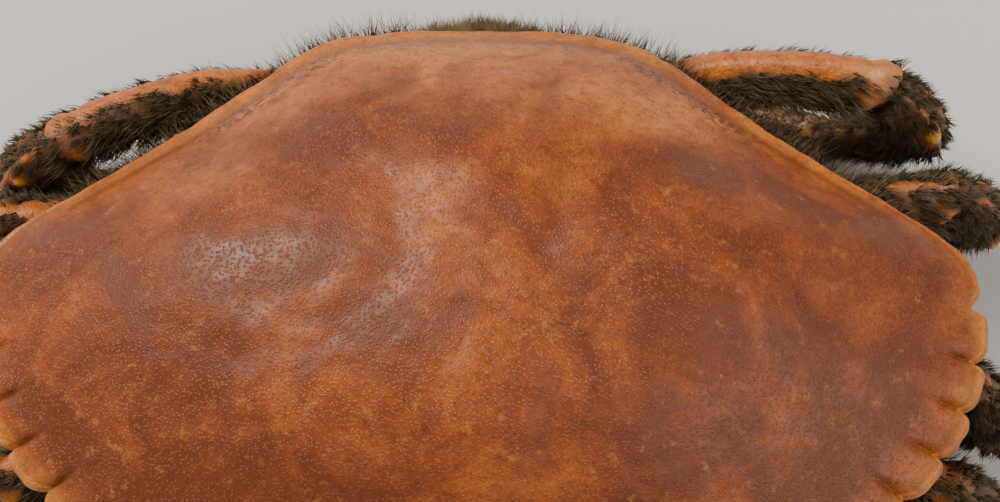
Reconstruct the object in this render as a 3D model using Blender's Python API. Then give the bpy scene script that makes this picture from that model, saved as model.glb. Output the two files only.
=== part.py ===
"""Cooked female brown crab (Cancer pagurus) at life size, lying with its legs and claws folded.

The head looks along -Y, the crab's left side is +X, and the floor is z = 0. Sizes are in
millimetres, and MM turns them into Blender's metres. Every plate of the shell that moves in
life is an object of its own, and neighbours keep GAP between them.
"""

import math
from collections import namedtuple

import bmesh
import bpy
from mathutils import Vector

MM = 0.001
GAP = 0.3

# The carapace seen from above, about the middle of its widest line.
HALF_WIDTH = 82.5
FRONT_REACH = 54.0
FRONT_POWER = 2.15
REAR_OUTLINE = [(82.5, 0), (81.0, 6.8), (76.0, 12.2), (65.0, 19.6), (50.0, 29.8), (39.0, 38.2),
                (32.0, 43.8), (24.0, 47.8), (12.0, 49.6), (0, 50)]
REAR_STEPS = 26

# The front between the eyes, the notch over each eye and the crimped edge behind it:
# how far across, and how far out from the plain outline.
FRONT_TEETH = [(0, 2.6), (2.3, 0.6), (4.8, 2.2), (7.2, 0.2), (9.4, 1.6), (10.6, -2.6), (13.2, -4.0),
               (15.8, -2.6), (17.2, 1.0), (19.2, 0.9)]
EDGE_LOBES = 9
LOBE_DEPTH = 2.5
LOBE_PHASES = [(0.0, 0.0), (0.17, 0.86), (0.5, 1.0), (0.83, 0.86)]
LOBE_REACH = 0.6

# Heights of the shell above the floor.
TOP = 67.0
SIDE_EDGE = 41.0
FRONT_EDGE = 43.0
REAR_EDGE = 37.5
BELLY = 10.0
RIM = 3.4
DOME_POWER = 2.2
DOME_RINGS = [0.12, 0.26, 0.4, 0.53, 0.65, 0.75, 0.84, 0.905, 0.95, 0.978]
RIM_LIFT = 0.9
RIM_INSET = 0.955

# The dome runs out into a flange that rises inward, and rounds into it. The lobes' relief starts
# at a share of the way to the edge, and the swellings fade out before it.
FLANGE_RISE = 1.2
FLANGE_ROUNDING = 1.0
RELIEF_START = 0.88
RELIEF_POWER = 1.5
SWELLING_FADE = 6

# Rings round the rim: share of the outline, drop below the edge and share of the rim's lift.
RIM_RINGS = [(1.0, 0.3, 1.0), (1.0, 1.7, 0.6), (0.985, 2.9, 0), (RIM_INSET, RIM, 0)]

# Swellings of the carapace over its organs: across, along, radius and height.
Swelling = namedtuple("Swelling", "x y radius height")
SWELLINGS = [Swelling(0, -20, 17, 1.6), Swelling(0, 20, 11, 1.5), Swelling(27, -27, 12, 1.3),
             Swelling(43, -2, 18, 1.8), Swelling(30, 19, 13, 1.2)]

# Ovals of the underside: half width, reach to the front, reach to the rear, and height.
Oval = namedtuple("Oval", "half_width front rear height")
UNDER_EDGE = Oval(41.0, 44.0, 45.0, 29.5)
LEG_LINE = Oval(36.0, 31.0, 41.0, 13.5)
BELLY_EDGE = Oval(29.5, 25.0, 36.0, BELLY)
BODY_SIDES = 72

# The side wall below the carapace's rim: a short drop just inside it, then a slope that reaches
# part of the way in to the under edge, where it follows a share of the rim's own rise and fall.
WALL_INSET = 0.945
WALL_FOOT = 0.925
WALL_DROP = 1.6
SLOPE_SHARE = 0.55
SLOPE_WEIGHT = 0.65
SLOPE_SAG = 1.2
EDGE_FOLLOWING = 0.6

# The middle of the footprint lies this far in front of the widest line.
FOOTPRINT_SHIFT = 12.5

# A segment turns from its first azimuth and pitch to its last: evenly, or early where ease is over 1.
Segment = namedtuple("Segment", "length height width azimuth pitch ease", defaults=[1])
Leg = namedtuple("Leg", "root segments")

# Shares of a segment's half height and half width along its length.
MERUS_SHAPE = [(0, 0.62, 0.8), (0.1, 0.78, 0.95), (0.2, 0.7, 0.84), (0.3, 0.9, 1.0), (0.6, 1.0, 1.0),
               (0.9, 0.97, 1.02), (1, 0.86, 0.95)]
CARPUS_SHAPE = [(0, 0.66, 0.74), (0.15, 0.84, 0.9), (0.5, 1.0, 1.0), (0.85, 1.0, 1.04), (1, 0.86, 0.92)]
PROPODUS_SHAPE = [(0, 0.66, 0.76), (0.15, 0.88, 0.94), (0.45, 1.0, 1.0), (0.85, 0.84, 0.9),
                  (1, 0.72, 0.8)]
DACTYL_SHAPE = [(0, 0.72, 0.8), (0.12, 0.96, 1.0), (0.4, 0.88, 0.84), (0.7, 0.6, 0.56),
                (0.9, 0.32, 0.32), (1, 0.12, 0.13)]
LEG_SHAPES = [MERUS_SHAPE, CARPUS_SHAPE, PROPODUS_SHAPE, DACTYL_SHAPE]
LEG_PARTS = ["merus", "carpus", "propodus", "dactyl"]
LEG_HEIGHTS = [6.6, 6.2, 5.4, 4.1]
LEG_WIDTHS = [4.5, 4.5, 3.9, 3.3]
LEG_SIDES = 12
LEG_POWER = 2.4
MERUS_EASE = 2
MIDDLE_LEG_PITCH = [(13, 7), (-40, -98), (-154, -172), (-170, -188)]
REAR_LEG_PITCH = [(24, 6), (-36, -86), (-122, -146), (-160, -184)]


def leg(root, azimuths, fold, lengths, girth, pitches):
    """A walking leg: its upper part turns from one azimuth to the other, and the rest folds from there."""
    segments = []
    for length, pitch, height, width in zip(lengths, pitches, LEG_HEIGHTS, LEG_WIDTHS):
        turn = (azimuths[1] + fold,) * 2 if segments else azimuths
        ease = 1 if segments else MERUS_EASE
        segments.append(Segment(length, height * girth, width * girth, turn, pitch, ease))
    return Leg(root, segments)


# The legs from front to rear, all given as left ones. The last two differ on the right side,
# where the photo shows them swung further forward.
LEFT_LEGS = {
    2: leg((33, -13, 19), (-14, -18), -6, (49, 18, 24, 23), 0.98, MIDDLE_LEG_PITCH),
    3: leg((34, 3, 19), (-10, -18), -4, (51, 19, 25, 24), 1.0, MIDDLE_LEG_PITCH),
    4: leg((32, 19, 19), (10, 4), -2, (50, 18, 24, 23), 0.98, MIDDLE_LEG_PITCH),
    5: leg((17.5, 36, 23), (46, -13), -10, (57, 16.5, 21, 21), 0.94, REAR_LEG_PITCH),
}
RIGHT_LEGS = {
    2: LEFT_LEGS[2],
    3: LEFT_LEGS[3],
    4: leg((32, 18, 19), (6, -4), -2, (50, 18, 24, 23), 0.98, MIDDLE_LEG_PITCH),
    5: leg((17.5, 36, 23), (42, -29), 16, (60, 16.5, 21, 21), 0.94, REAR_LEG_PITCH),
}

# A claw-bearing leg: arm, wrist and hand, with the fingers pointing to the middle.
CLAW_ROOT = (24, -27, 19)
CLAW_SIDES = 16
CLAW_POWER = 2.15
ARM = Segment(45, 8.2, 6.8, (-17, -22), (10, 4))
WRIST = Segment(20, 12.2, 10.6, (-48, -108), (0, -3))
HAND = Segment(71, 17.0, 10.6, (-160, -178), (-5, -14))
ARM_SHAPE = [(0, 0.7, 0.8), (0.15, 0.74, 0.84), (0.25, 0.7, 0.8), (0.45, 0.95, 1), (0.85, 1.1, 1.08),
             (1, 0.96, 0.98)]
WRIST_SHAPE = [(0, 0.66, 0.66), (0.16, 0.88, 0.9), (0.45, 1, 1), (0.8, 0.94, 0.96), (1, 0.72, 0.76)]

# The hand and its movable finger: distance along, height of the middle above the axis,
# half height and half width.
PALM_END = 0.575
PALM_STEP_END = PALM_END + 0.012
HAND_SHAPE = [(0, 0, 8.4, 7.6), (0.05, 0.5, 11.6, 9.2), (0.17, 1.0, 15.2, 10.4), (0.33, 1.4, 17.0, 10.8),
              (0.48, 1.2, 17.0, 10.2), (PALM_END, 0.8, 15.8, 9.2), (PALM_STEP_END, -7.7, 7.4, 7.8),
              (0.66, -8.2, 6.6, 6.8), (0.8, -7.4, 5.0, 5.4), (0.92, -5.4, 3.1, 3.6), (1, -3.6, 0.9, 1.2)]
FINGER_SHAPE = [(0, 7.6, 7.2, 7.2), (0.14, 8.4, 7.2, 6.8), (0.4, 7.6, 6.0, 5.6), (0.7, 4.8, 4.4, 4.2),
                (0.88, 2.0, 2.7, 2.8), (1, 0.4, 0.9, 1.1)]
FINGER_START = PALM_END + 0.0165
FINGER_END = 1.01
TEETH = 4
TOOTH_HEIGHT = 0.8
TOOTH_TAPER = 1 / 3
TOOTH_SHARPNESS = 3
HAND_RINGS = 9
FINGER_RINGS = 13

# The tail lies folded under the body: two narrow plates behind, then a broad oval flap.
TAIL_ROOT = (0, 46.0, 33.5)
TAIL_REAR = Segment(27.5, 2.4, 17.5, (-90, -90), (-142, -50))
TAIL_FLAP = Segment(55, 2.7, 22.5, (-90, -90), (-7, 2))
TAIL_REAR_SHAPE = [(0, 0.7, 0.86), (0.06, 1, 0.9), (0.44, 1, 0.98), (0.5, 0.62, 0.92), (0.56, 1, 0.94),
                   (0.96, 1, 0.9), (1, 0.8, 0.84)]
TAIL_PLATE_ENDS = [0, 0.17, 0.34, 0.52, 0.76, 1]
TAIL_PLATE_SHAPE = [(0.0, 0.72), (0.12, 1.0), (0.92, 1.0)]
TAIL_TIP_HEIGHT = 0.5
TAIL_FLAP_WIDTHS = [(0, 0.62), (0.17, 0.82), (0.34, 0.94), (0.52, 1), (0.7, 0.94), (0.76, 0.8),
                    (0.9, 0.52), (1, 0.12)]
TAIL_SIDES = 16
TAIL_POWER = 2.6

# The face: eyes in their notches, feelers under the front, and the plates over the mouth.
EYE = (13.2, -51.0, 41.4)
EYE_RADII = (2.3, 3.3, 2.4)
EYE_SIDES = 16
EYE_RINGS = 10
FEELER_SIDES = 8
ROUND = 2
FEELER_ROOT = (7.6, -46.5, 37.6)
FEELER = Segment(24, 1.5, 1.5, (-84, -48), (10, 22))
FEELER_SHAPE = [(0, 1, 1), (0.3, 0.95, 0.95), (0.36, 0.5, 0.5), (0.7, 0.34, 0.34), (1, 0.2, 0.2)]
INNER_FEELER_ROOT = (2.9, -46.5, 38.2)
INNER_FEELER = Segment(11, 1.25, 1.25, (-80, -40), (4, -70))
INNER_FEELER_SHAPE = [(0, 1, 1), (0.4, 1, 1), (0.6, 0.62, 0.62), (1, 0.42, 0.42)]
MOUTH_ROOT = (5.5, -44.8, 31.5)
MOUTH_PLATE = Segment(23.5, 2.0, 5.0, (90, 90), (-54, -54))
MOUTH_SHAPE = [(0, 0.6, 0.62), (0.08, 0.95, 0.9), (0.36, 1.0, 1.0), (0.4, 0.6, 0.94), (0.44, 1, 1),
               (0.9, 1, 0.9), (1, 0.6, 0.62)]
MOUTH_SIDES = 12
MOUTH_POWER = 3

# Limbs are lowered until they bite this far into the floor, and are flattened there.
FLOOR_BITE = 0.45

# A segment is followed in this many straight steps, and its end leans into the joint's plane over
# three rings by these shares.
ARC_STEPS = 48
LEAN_SHARES = [1, 0.55, 0.2]

# Edges sharper than this stay sharp, in degrees, and a clearance grows no more than this many
# gaps at a sharp corner.
SMOOTH_ANGLE = 40
MOST_GROWTH = 1.6

Material = namedtuple("Material", "colour roughness")
SHELL = Material((0.42, 0.14, 0.05), 0.5)
CLAW_SHELL = Material((0.47, 0.16, 0.06), 0.45)
LEG_SHELL = Material((0.36, 0.14, 0.06), 0.55)
UNDER_SHELL = Material((0.72, 0.52, 0.34), 0.5)
FINGER_SHELL = Material((0.05, 0.035, 0.03), 0.35)
EYE_SHELL = Material((0.01, 0.01, 0.01), 0.15)


def clear_scene():
    for item in list(bpy.data.objects):
        bpy.data.objects.remove(item)


def new_collection(name):
    collection = bpy.data.collections.new(name)
    bpy.context.scene.collection.children.link(collection)
    return collection


def material_of(name, finish):
    """The Principled material of that name, made once."""
    material = bpy.data.materials.get(name)
    if material is None:
        material = bpy.data.materials.new(name)
        material.use_nodes = True
        shader = material.node_tree.nodes["Principled BSDF"]
        shader.inputs["Base Color"].default_value = (*finish.colour, 1)
        shader.inputs["Roughness"].default_value = finish.roughness
    return material


def between(stations, along):
    """The values of a table of stations at a distance along it, eased from station to station."""
    for low, high in zip(stations, stations[1:]):
        if along <= high[0]:
            share = (along - low[0]) / (high[0] - low[0])
            eased = share * share * (3 - 2 * share)
            return [a + (b - a) * eased for a, b in zip(low[1:], high[1:])]
    return list(stations[-1][1:])


def smooth_curve(points, steps):
    """Points at even steps along the Catmull-Rom curve through the given ones."""
    ends = [points[0], *points, points[-1]]
    spans = len(points) - 1
    found = []
    for step in range(steps + 1):
        span = min(int(step * spans / steps), spans - 1)
        t = step * spans / steps - span
        p0, p1, p2, p3 = (Vector(p) for p in ends[span:span + 4])
        found.append(0.5 * ((2 * p1) + (p2 - p0) * t + (2 * p0 - 5 * p1 + 4 * p2 - p3) * t ** 2
                            + (3 * p1 - p0 - 3 * p2 + p3) * t ** 3))
    return found


def front_point(across):
    """The plain front outline at a distance across, which is a superellipse."""
    share = min(abs(across) / HALF_WIDTH, 1)
    return Vector((abs(across), -FRONT_REACH * (1 - share ** FRONT_POWER) ** (1 / FRONT_POWER)))


def edge_point(share):
    """The plain outline from the last front tooth, 0, to the widest point, 1, by angle."""
    first = FRONT_TEETH[-1][0]
    start = math.asin((first / HALF_WIDTH) ** (FRONT_POWER / 2))
    turn = start + (math.pi / 2 - start) * share
    return Vector((HALF_WIDTH * math.sin(turn) ** (2 / FRONT_POWER),
                   -FRONT_REACH * max(math.cos(turn), 0) ** (2 / FRONT_POWER)))


def half_outline():
    """(point, reach) pairs round the crab's left half, from the front's middle to the rear's."""
    found = [(front_point(across), reach) for across, reach in FRONT_TEETH[:-1]]
    for lobe in range(EDGE_LOBES):
        for phase, fullness in LOBE_PHASES:
            found.append((edge_point((lobe + phase) / EDGE_LOBES), LOBE_DEPTH * (fullness - 1) + LOBE_REACH))
    rear = smooth_curve(REAR_OUTLINE, REAR_STEPS)
    found.append((rear[0], -LOBE_DEPTH * 0.5))
    found.extend((point, 0) for point in rear[1:])
    return found


def full_outline():
    """The whole outline, anticlockwise seen from above, starting at the front's middle."""
    left = half_outline()
    right = [(Vector((-point.x, point.y)), reach) for point, reach in reversed(left[1:-1])]
    return left + right


def edge_height(point):
    """The height of the carapace's edge in the direction of a point seen from above."""
    along = point.y / max(point.length, 1e-6)
    if along < 0:
        return SIDE_EDGE + (FRONT_EDGE - SIDE_EDGE) * along ** 2
    return SIDE_EDGE + (REAR_EDGE - SIDE_EDGE) * along ** 2


def swell(x, y):
    total = 0
    for one in SWELLINGS:
        away = (abs(x) - one.x) ** 2 + (y - one.y) ** 2
        total += one.height * math.exp(-away / one.radius ** 2)
    return total


def dome_height(point, share, edge):
    """The carapace's height at a share of the way from its middle to its edge."""
    dome = edge + (TOP - edge) * (1 - share ** DOME_POWER)
    flange = edge + FLANGE_RISE * (1 - share)
    smooth = 0.5 * (dome + flange + math.sqrt((dome - flange) ** 2 + FLANGE_ROUNDING))
    return smooth + swell(point.x, point.y) * (1 - share ** SWELLING_FADE)


def carapace_rings():
    """Rings of the dorsal shield from its top to its underside."""
    outline = full_outline()
    outward = [point.normalized() for point, _ in outline]
    rings = []
    for share in DOME_RINGS:
        relief = max(0, (share - RELIEF_START) / (1 - RELIEF_START)) ** RELIEF_POWER
        ring = []
        for (point, reach), out in zip(outline, outward):
            place = point * share + out * reach * relief
            ring.append(Vector((place.x, place.y, dome_height(place, share, edge_height(point)))))
        rings.append(ring)
    for share, drop, lift in RIM_RINGS:
        ring = []
        for (point, reach), out in zip(outline, outward):
            place = point * share + out * reach * (1 if share > RIM_INSET else 0.5)
            raised = lift * RIM_LIFT * (1 + min(reach, 0) / LOBE_DEPTH)
            ring.append(Vector((place.x, place.y, edge_height(point) - drop + raised)))
        rings.append(ring)
    return rings


def carapace():
    rings = carapace_rings()
    top = Vector((0, 0, TOP + swell(0, 0)))
    bottom = Vector((0, 0, SIDE_EDGE - RIM))
    return loft(rings, start_pole=top, end_pole=bottom)


def oval_point(oval, turn):
    reach = oval.front if math.cos(turn) > 0 else oval.rear
    return Vector((oval.half_width * math.sin(turn), -reach * math.cos(turn)))


def plain_outline_at(turn):
    """The plain outline in a direction, as a point found between the outline's own points."""
    outline = [point for point, _ in half_outline()]
    target = math.atan2(abs(math.sin(turn)), math.cos(turn))
    for low, high in zip(outline, outline[1:]):
        before, after = (math.atan2(p.x, -p.y) for p in (low, high))
        if before - 1e-6 <= target <= after + 1e-6:
            share = (target - before) / max(after - before, 1e-9)
            point = low.lerp(high, share)
            return Vector((math.copysign(point.x, math.sin(turn)), point.y))
    return outline[-1].copy()


def body():
    """The underside: it hangs from the carapace's edge, draws in to the legs and closes at the belly."""
    turns = [2 * math.pi * step / BODY_SIDES for step in range(BODY_SIDES)]
    rings = [[] for _ in range(6)]
    for turn in turns:
        edge = plain_outline_at(turn)
        height = edge_height(edge)
        under = oval_point(UNDER_EDGE, turn)
        folded = UNDER_EDGE.height + (height - SIDE_EDGE) * EDGE_FOLLOWING
        slope = height * (1 - SLOPE_WEIGHT) + folded * SLOPE_WEIGHT - SLOPE_SAG
        rings[0].append((*(edge * WALL_INSET), height - RIM - GAP))
        rings[1].append((*(edge * WALL_FOOT), height - RIM - WALL_DROP))
        rings[2].append((*(edge * WALL_FOOT).lerp(under, SLOPE_SHARE), slope))
        rings[3].append((*under, folded))
        rings[4].append((*oval_point(LEG_LINE, turn), LEG_LINE.height))
        rings[5].append((*oval_point(BELLY_EDGE, turn), BELLY_EDGE.height))
    rings = [[Vector(point) for point in ring] for ring in rings]
    top = Vector((0, 0, SIDE_EDGE - RIM - GAP))
    return loft(rings, start_pole=top, end_pole=Vector((0, 0, BELLY)))


def heading(azimuth, pitch):
    """The direction at an azimuth, 0 along +X and 90 along +Y, and a pitch, and the side that is up there."""
    a, p = math.radians(azimuth), math.radians(pitch)
    level = Vector((math.cos(a), math.sin(a), 0))
    rise = Vector((0, 0, 1))
    return (level * math.cos(p) + rise * math.sin(p), rise * math.cos(p) - level * math.sin(p))


def heading_at(segment, share):
    turned = 1 - max(1 - share, 0) ** segment.ease
    azimuth = segment.azimuth[0] + (segment.azimuth[1] - segment.azimuth[0]) * turned
    pitch = segment.pitch[0] + (segment.pitch[1] - segment.pitch[0]) * share
    return heading(azimuth, pitch)


def arc(start, segment, shares):
    """(point, direction, up) at each share of the way along a segment."""
    point = Vector(start)
    points = [point.copy()]
    for step in range(ARC_STEPS):
        point = point + heading_at(segment, (step + 0.5) / ARC_STEPS)[0] * (segment.length / ARC_STEPS)
        points.append(point.copy())
    found = []
    for share in shares:
        low = min(int(share * ARC_STEPS), ARC_STEPS - 1)
        place = points[low].lerp(points[low + 1], share * ARC_STEPS - low)
        found.append((place, *heading_at(segment, share)))
    return found


def end_of(start, segment):
    return arc(start, segment, [1])[0][0]


def joint_plane(before, after):
    """The direction square to the plane in which two segments meet."""
    return (heading(before.azimuth[1], before.pitch[1])[0]
            + heading(after.azimuth[0], after.pitch[0])[0]).normalized()


def section(frame, lift, height, width, sides, power, bump=None):
    """A ring round a frame's point: a superellipse, with an optional bump added by angle."""
    point, direction, up = frame
    side = direction.cross(up)
    ring = []
    for step in range(sides):
        turn = 2 * math.pi * step / sides
        across = math.copysign(abs(math.cos(turn)) ** (2 / power), math.cos(turn)) * width
        rise = math.copysign(abs(math.sin(turn)) ** (2 / power), math.sin(turn)) * height
        if bump:
            rise += bump(turn)
        ring.append(point + side * across + up * (lift + rise))
    return ring


def lean_to_plane(rings, frames, joint, normal, offset):
    """Slides the first rings along their own directions until the first lies in the joint's plane."""
    for ring, frame, share in zip(rings, frames, LEAN_SHARES):
        direction = frame[1]
        for place, corner in enumerate(ring):
            flat = corner - frame[0] + joint
            slide = (offset - (flat - joint).dot(normal)) / direction.dot(normal)
            ring[place] = corner + direction * (slide * share)


def tube(start, segment, shape, sides, power, before=None, after=None):
    """Rings of one segment, ending in the planes where it meets the one before and the one after."""
    shares = [station[0] for station in shape]
    frames = arc(start, segment, shares)
    rings = []
    for share, frame in zip(shares, frames):
        height, width = between(shape, share)
        rings.append(section(frame, 0, height * segment.height, width * segment.width, sides, power))
    if before:
        lean_to_plane(rings, frames, frames[0][0], joint_plane(before, segment), GAP / 2)
    if after:
        lean_to_plane(rings[::-1], frames[::-1], frames[-1][0], joint_plane(segment, after), -GAP / 2)
    return rings


def loft(rings, start_pole=None, end_pole=None):
    """A closed mesh through rings of equal size. Each end is a flat face, or a fan to its pole."""
    mesh = bmesh.new()
    made = [[mesh.verts.new(point) for point in ring] for ring in rings]
    count = len(made[0])
    for low, high in zip(made, made[1:]):
        for step in range(count):
            after = (step + 1) % count
            mesh.faces.new((low[step], low[after], high[after], high[step]))
    for ring, pole, turned in ((made[0], start_pole, True), (made[-1], end_pole, False)):
        if pole is None:
            mesh.faces.new(ring[::-1] if turned else ring)
            continue
        tip = mesh.verts.new(pole)
        for step in range(count):
            mesh.faces.new((ring[step], ring[(step + 1) % count], tip))
    bmesh.ops.recalc_face_normals(mesh, faces=mesh.faces)
    bmesh.ops.triangulate(mesh, faces=[face for face in mesh.faces if len(face.verts) > 3])
    return mesh


def lowest(many_rings):
    return min(point.z for rings in many_rings for ring in rings for point in ring)


def settle(many_rings):
    """Moves a limb up or down until it bites a little into the floor, then flattens it there."""
    drop = -FLOOR_BITE - lowest(many_rings)
    for rings in many_rings:
        for ring in rings:
            for point in ring:
                point.z = max(point.z + drop, 0)


def mirrored(mesh):
    bmesh.ops.scale(mesh, verts=mesh.verts, vec=(-1, 1, 1))
    bmesh.ops.reverse_faces(mesh, faces=mesh.faces)
    return mesh


def add_object(name, mesh, finish, collection, parent):
    """Turns a mesh in millimetres into an object with its material, smooth where it is round."""
    bmesh.ops.scale(mesh, verts=mesh.verts, vec=(MM, MM, MM))
    data = bpy.data.meshes.new(name)
    mesh.to_mesh(data)
    mesh.free()
    data.materials.append(material_of(*finish))
    data.shade_smooth()
    data.set_sharp_from_angle(angle=math.radians(SMOOTH_ANGLE))
    item = bpy.data.objects.new(name, data)
    collection.objects.link(item)
    item.parent = parent
    return item


def clearance(mesh, name, collection, parent):
    """A cutter: the same shape swollen by the gap that neighbours keep."""
    mesh.normal_update()
    moved = [(corner, corner.co + corner.normal * (GAP * min(corner.calc_shell_factor(), MOST_GROWTH)))
             for corner in mesh.verts]
    for corner, place in moved:
        corner.co = place
    item = add_object(name, mesh, ("clearance", SHELL), collection, parent)
    item.hide_render = True
    item.display_type = "WIRE"
    return item


def cut(item, *cutters):
    for cutter in cutters:
        modifier = item.modifiers.new(f"clear_of_{cutter.name}", "BOOLEAN")
        modifier.operation = "DIFFERENCE"
        modifier.solver = "EXACT"
        modifier.object = cutter


def leg_rings(one):
    """The rings of each segment of a walking leg, settled on the floor."""
    start = Vector(one.root)
    limb = []
    for place, segment in enumerate(one.segments):
        before = one.segments[place - 1] if place else None
        after = one.segments[place + 1] if place + 1 < len(one.segments) else None
        limb.append(tube(start, segment, LEG_SHAPES[place], LEG_SIDES, LEG_POWER, before, after))
        start = end_of(start, segment)
    settle(limb)
    return limb


def tooth_bump(side, along):
    """Blunt teeth on the edge where a finger meets the other: side is 1 on its top, -1 below."""
    wave = 0.5 - 0.5 * math.cos(2 * math.pi * TEETH * along)
    height = TOOTH_HEIGHT * wave * min(1, (1 - along) / TOOTH_TAPER)

    def bump(turn):
        return side * height * max(0, side * math.sin(turn)) ** TOOTH_SHARPNESS

    return bump


def hand_rings(start):
    """The palm with its fixed finger, and the movable finger above it."""
    finger_steps = [PALM_STEP_END + (1 - PALM_STEP_END) * step / HAND_RINGS
                    for step in range(1, HAND_RINGS + 1)]
    shares = [station[0] for station in HAND_SHAPE if station[0] <= PALM_STEP_END] + finger_steps
    frames = arc(start, HAND, shares)
    hand = []
    for share, frame in zip(shares, frames):
        lift, height, width = between(HAND_SHAPE, share)
        along = max(0, (share - finger_steps[0]) / (1 - finger_steps[0]))
        bump = tooth_bump(1, along)
        hand.append(section(frame, lift, height, width, CLAW_SIDES, CLAW_POWER, bump))
    lean_to_plane(hand, frames, frames[0][0], joint_plane(WRIST, HAND), GAP / 2)
    steps = [step / (FINGER_RINGS - 1) for step in range(FINGER_RINGS)]
    frames = arc(start, HAND, [FINGER_START + (FINGER_END - FINGER_START) * step for step in steps])
    finger = []
    for step, frame in zip(steps, frames):
        lift, height, width = between(FINGER_SHAPE, step)
        finger.append(section(frame, lift, height, width, CLAW_SIDES, CLAW_POWER, tooth_bump(-1, step)))
    return hand, finger


def claw_rings():
    """Arm, wrist, hand and finger of a folded claw, settled on the floor."""
    start = Vector(CLAW_ROOT)
    arm = tube(start, ARM, ARM_SHAPE, CLAW_SIDES, CLAW_POWER, after=WRIST)
    start = end_of(start, ARM)
    wrist = tube(start, WRIST, WRIST_SHAPE, CLAW_SIDES, CLAW_POWER, ARM, HAND)
    start = end_of(start, WRIST)
    limb = [arm, wrist, *hand_rings(start)]
    settle(limb)
    return limb


def tail_flap_shape():
    """The flap's plates: each begins thin under the one behind it and swells to its own edge."""
    shape = []
    for low, high in zip(TAIL_PLATE_ENDS, TAIL_PLATE_ENDS[1:]):
        for share, height in TAIL_PLATE_SHAPE:
            along = low + (high - low) * share
            shape.append((along, height, between(TAIL_FLAP_WIDTHS, along)[0]))
    shape.append((1, TAIL_TIP_HEIGHT, TAIL_FLAP_WIDTHS[-1][1]))
    return shape


def tail_parts():
    """The two plates behind the body, and the flap that lies flat against the belly."""
    rear = tube(TAIL_ROOT, TAIL_REAR, TAIL_REAR_SHAPE, TAIL_SIDES, TAIL_POWER, after=TAIL_FLAP)
    flap = tube(end_of(TAIL_ROOT, TAIL_REAR), TAIL_FLAP, tail_flap_shape(), TAIL_SIDES, TAIL_POWER,
                before=TAIL_REAR)
    for ring in flap:
        for point in ring:
            point.z = min(point.z, BELLY - GAP)
    return rear, flap


def eye():
    mesh = bmesh.new()
    bmesh.ops.create_uvsphere(mesh, u_segments=EYE_SIDES, v_segments=EYE_RINGS, radius=1)
    bmesh.ops.scale(mesh, verts=mesh.verts, vec=EYE_RADII)
    bmesh.ops.translate(mesh, verts=mesh.verts, vec=EYE)
    return mesh


def mouth_plate():
    return loft(tube(MOUTH_ROOT, MOUTH_PLATE, MOUTH_SHAPE, MOUTH_SIDES, MOUTH_POWER))


def build():
    clear_scene()
    parts = new_collection("brown_crab")
    cutters = new_collection("cutters")
    crab = bpy.data.objects.new("crab", None)
    crab.location = (0, FOOTPRINT_SHIFT * MM, 0)
    parts.objects.link(crab)

    def add(name, mesh, finish):
        return add_object(name, mesh, finish, parts, crab)

    def add_pair(name, make, finish, *clear):
        for side, flip in (("left", False), ("right", True)):
            item = add(f"{name}_{side}", mirrored(make()) if flip else make(), finish)
            cut(item, *clear)

    shell = ("shell", SHELL)
    under = ("underside", UNDER_SHELL)
    limb_shell = ("leg_shell", LEG_SHELL)
    claw_shell = ("claw_shell", CLAW_SHELL)
    add("carapace", carapace(), shell)
    add("body", body(), under)
    off_carapace = clearance(carapace(), "carapace_clearance", cutters, crab)
    off_body = clearance(body(), "body_clearance", cutters, crab)

    tail_rear, tail_flap = tail_parts()
    cut(add("tail_rear", loft(tail_rear), under), off_body, off_carapace)
    add("tail_flap", loft(tail_flap), under)

    for side, legs, flip in (("left", LEFT_LEGS, False), ("right", RIGHT_LEGS, True)):
        for number, one in legs.items():
            for part, rings in zip(LEG_PARTS, leg_rings(one)):
                mesh = loft(rings)
                item = add(f"leg{number}_{side}_{part}", mirrored(mesh) if flip else mesh, limb_shell)
                if part == "merus":
                    cut(item, off_body)

    for side, flip in (("left", False), ("right", True)):
        for part, rings in zip(("arm", "wrist", "hand", "finger"), claw_rings()):
            mesh = loft(rings)
            finish = ("finger_shell", FINGER_SHELL) if part == "finger" else claw_shell
            item = add(f"claw_{side}_{part}", mirrored(mesh) if flip else mesh, finish)
            if part == "arm":
                cut(item, off_body)

    add_pair("eye", eye, ("eye", EYE_SHELL), off_body, off_carapace)
    for name, root, segment, shape in (("feeler", FEELER_ROOT, FEELER, FEELER_SHAPE),
                                       ("inner_feeler", INNER_FEELER_ROOT, INNER_FEELER, INNER_FEELER_SHAPE)):
        add_pair(name, lambda: loft(tube(root, segment, shape, FEELER_SIDES, ROUND)), claw_shell, off_body,
                 off_carapace)
    add_pair("mouth_plate", mouth_plate, under, off_body)


build()
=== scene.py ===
"""Looks of the cooked brown crab: its shell, claws, legs, face, tail and short stiff hair.

The head looks along -Y and the crab's left side is +X. Shapes are worked out in millimetres about
the middle of the carapace's widest line, as in the solids, and turn into metres in the meshes.
"""

import itertools
import math
from collections import namedtuple

import bpy
import numpy as np
from mathutils import Matrix, Vector


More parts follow.
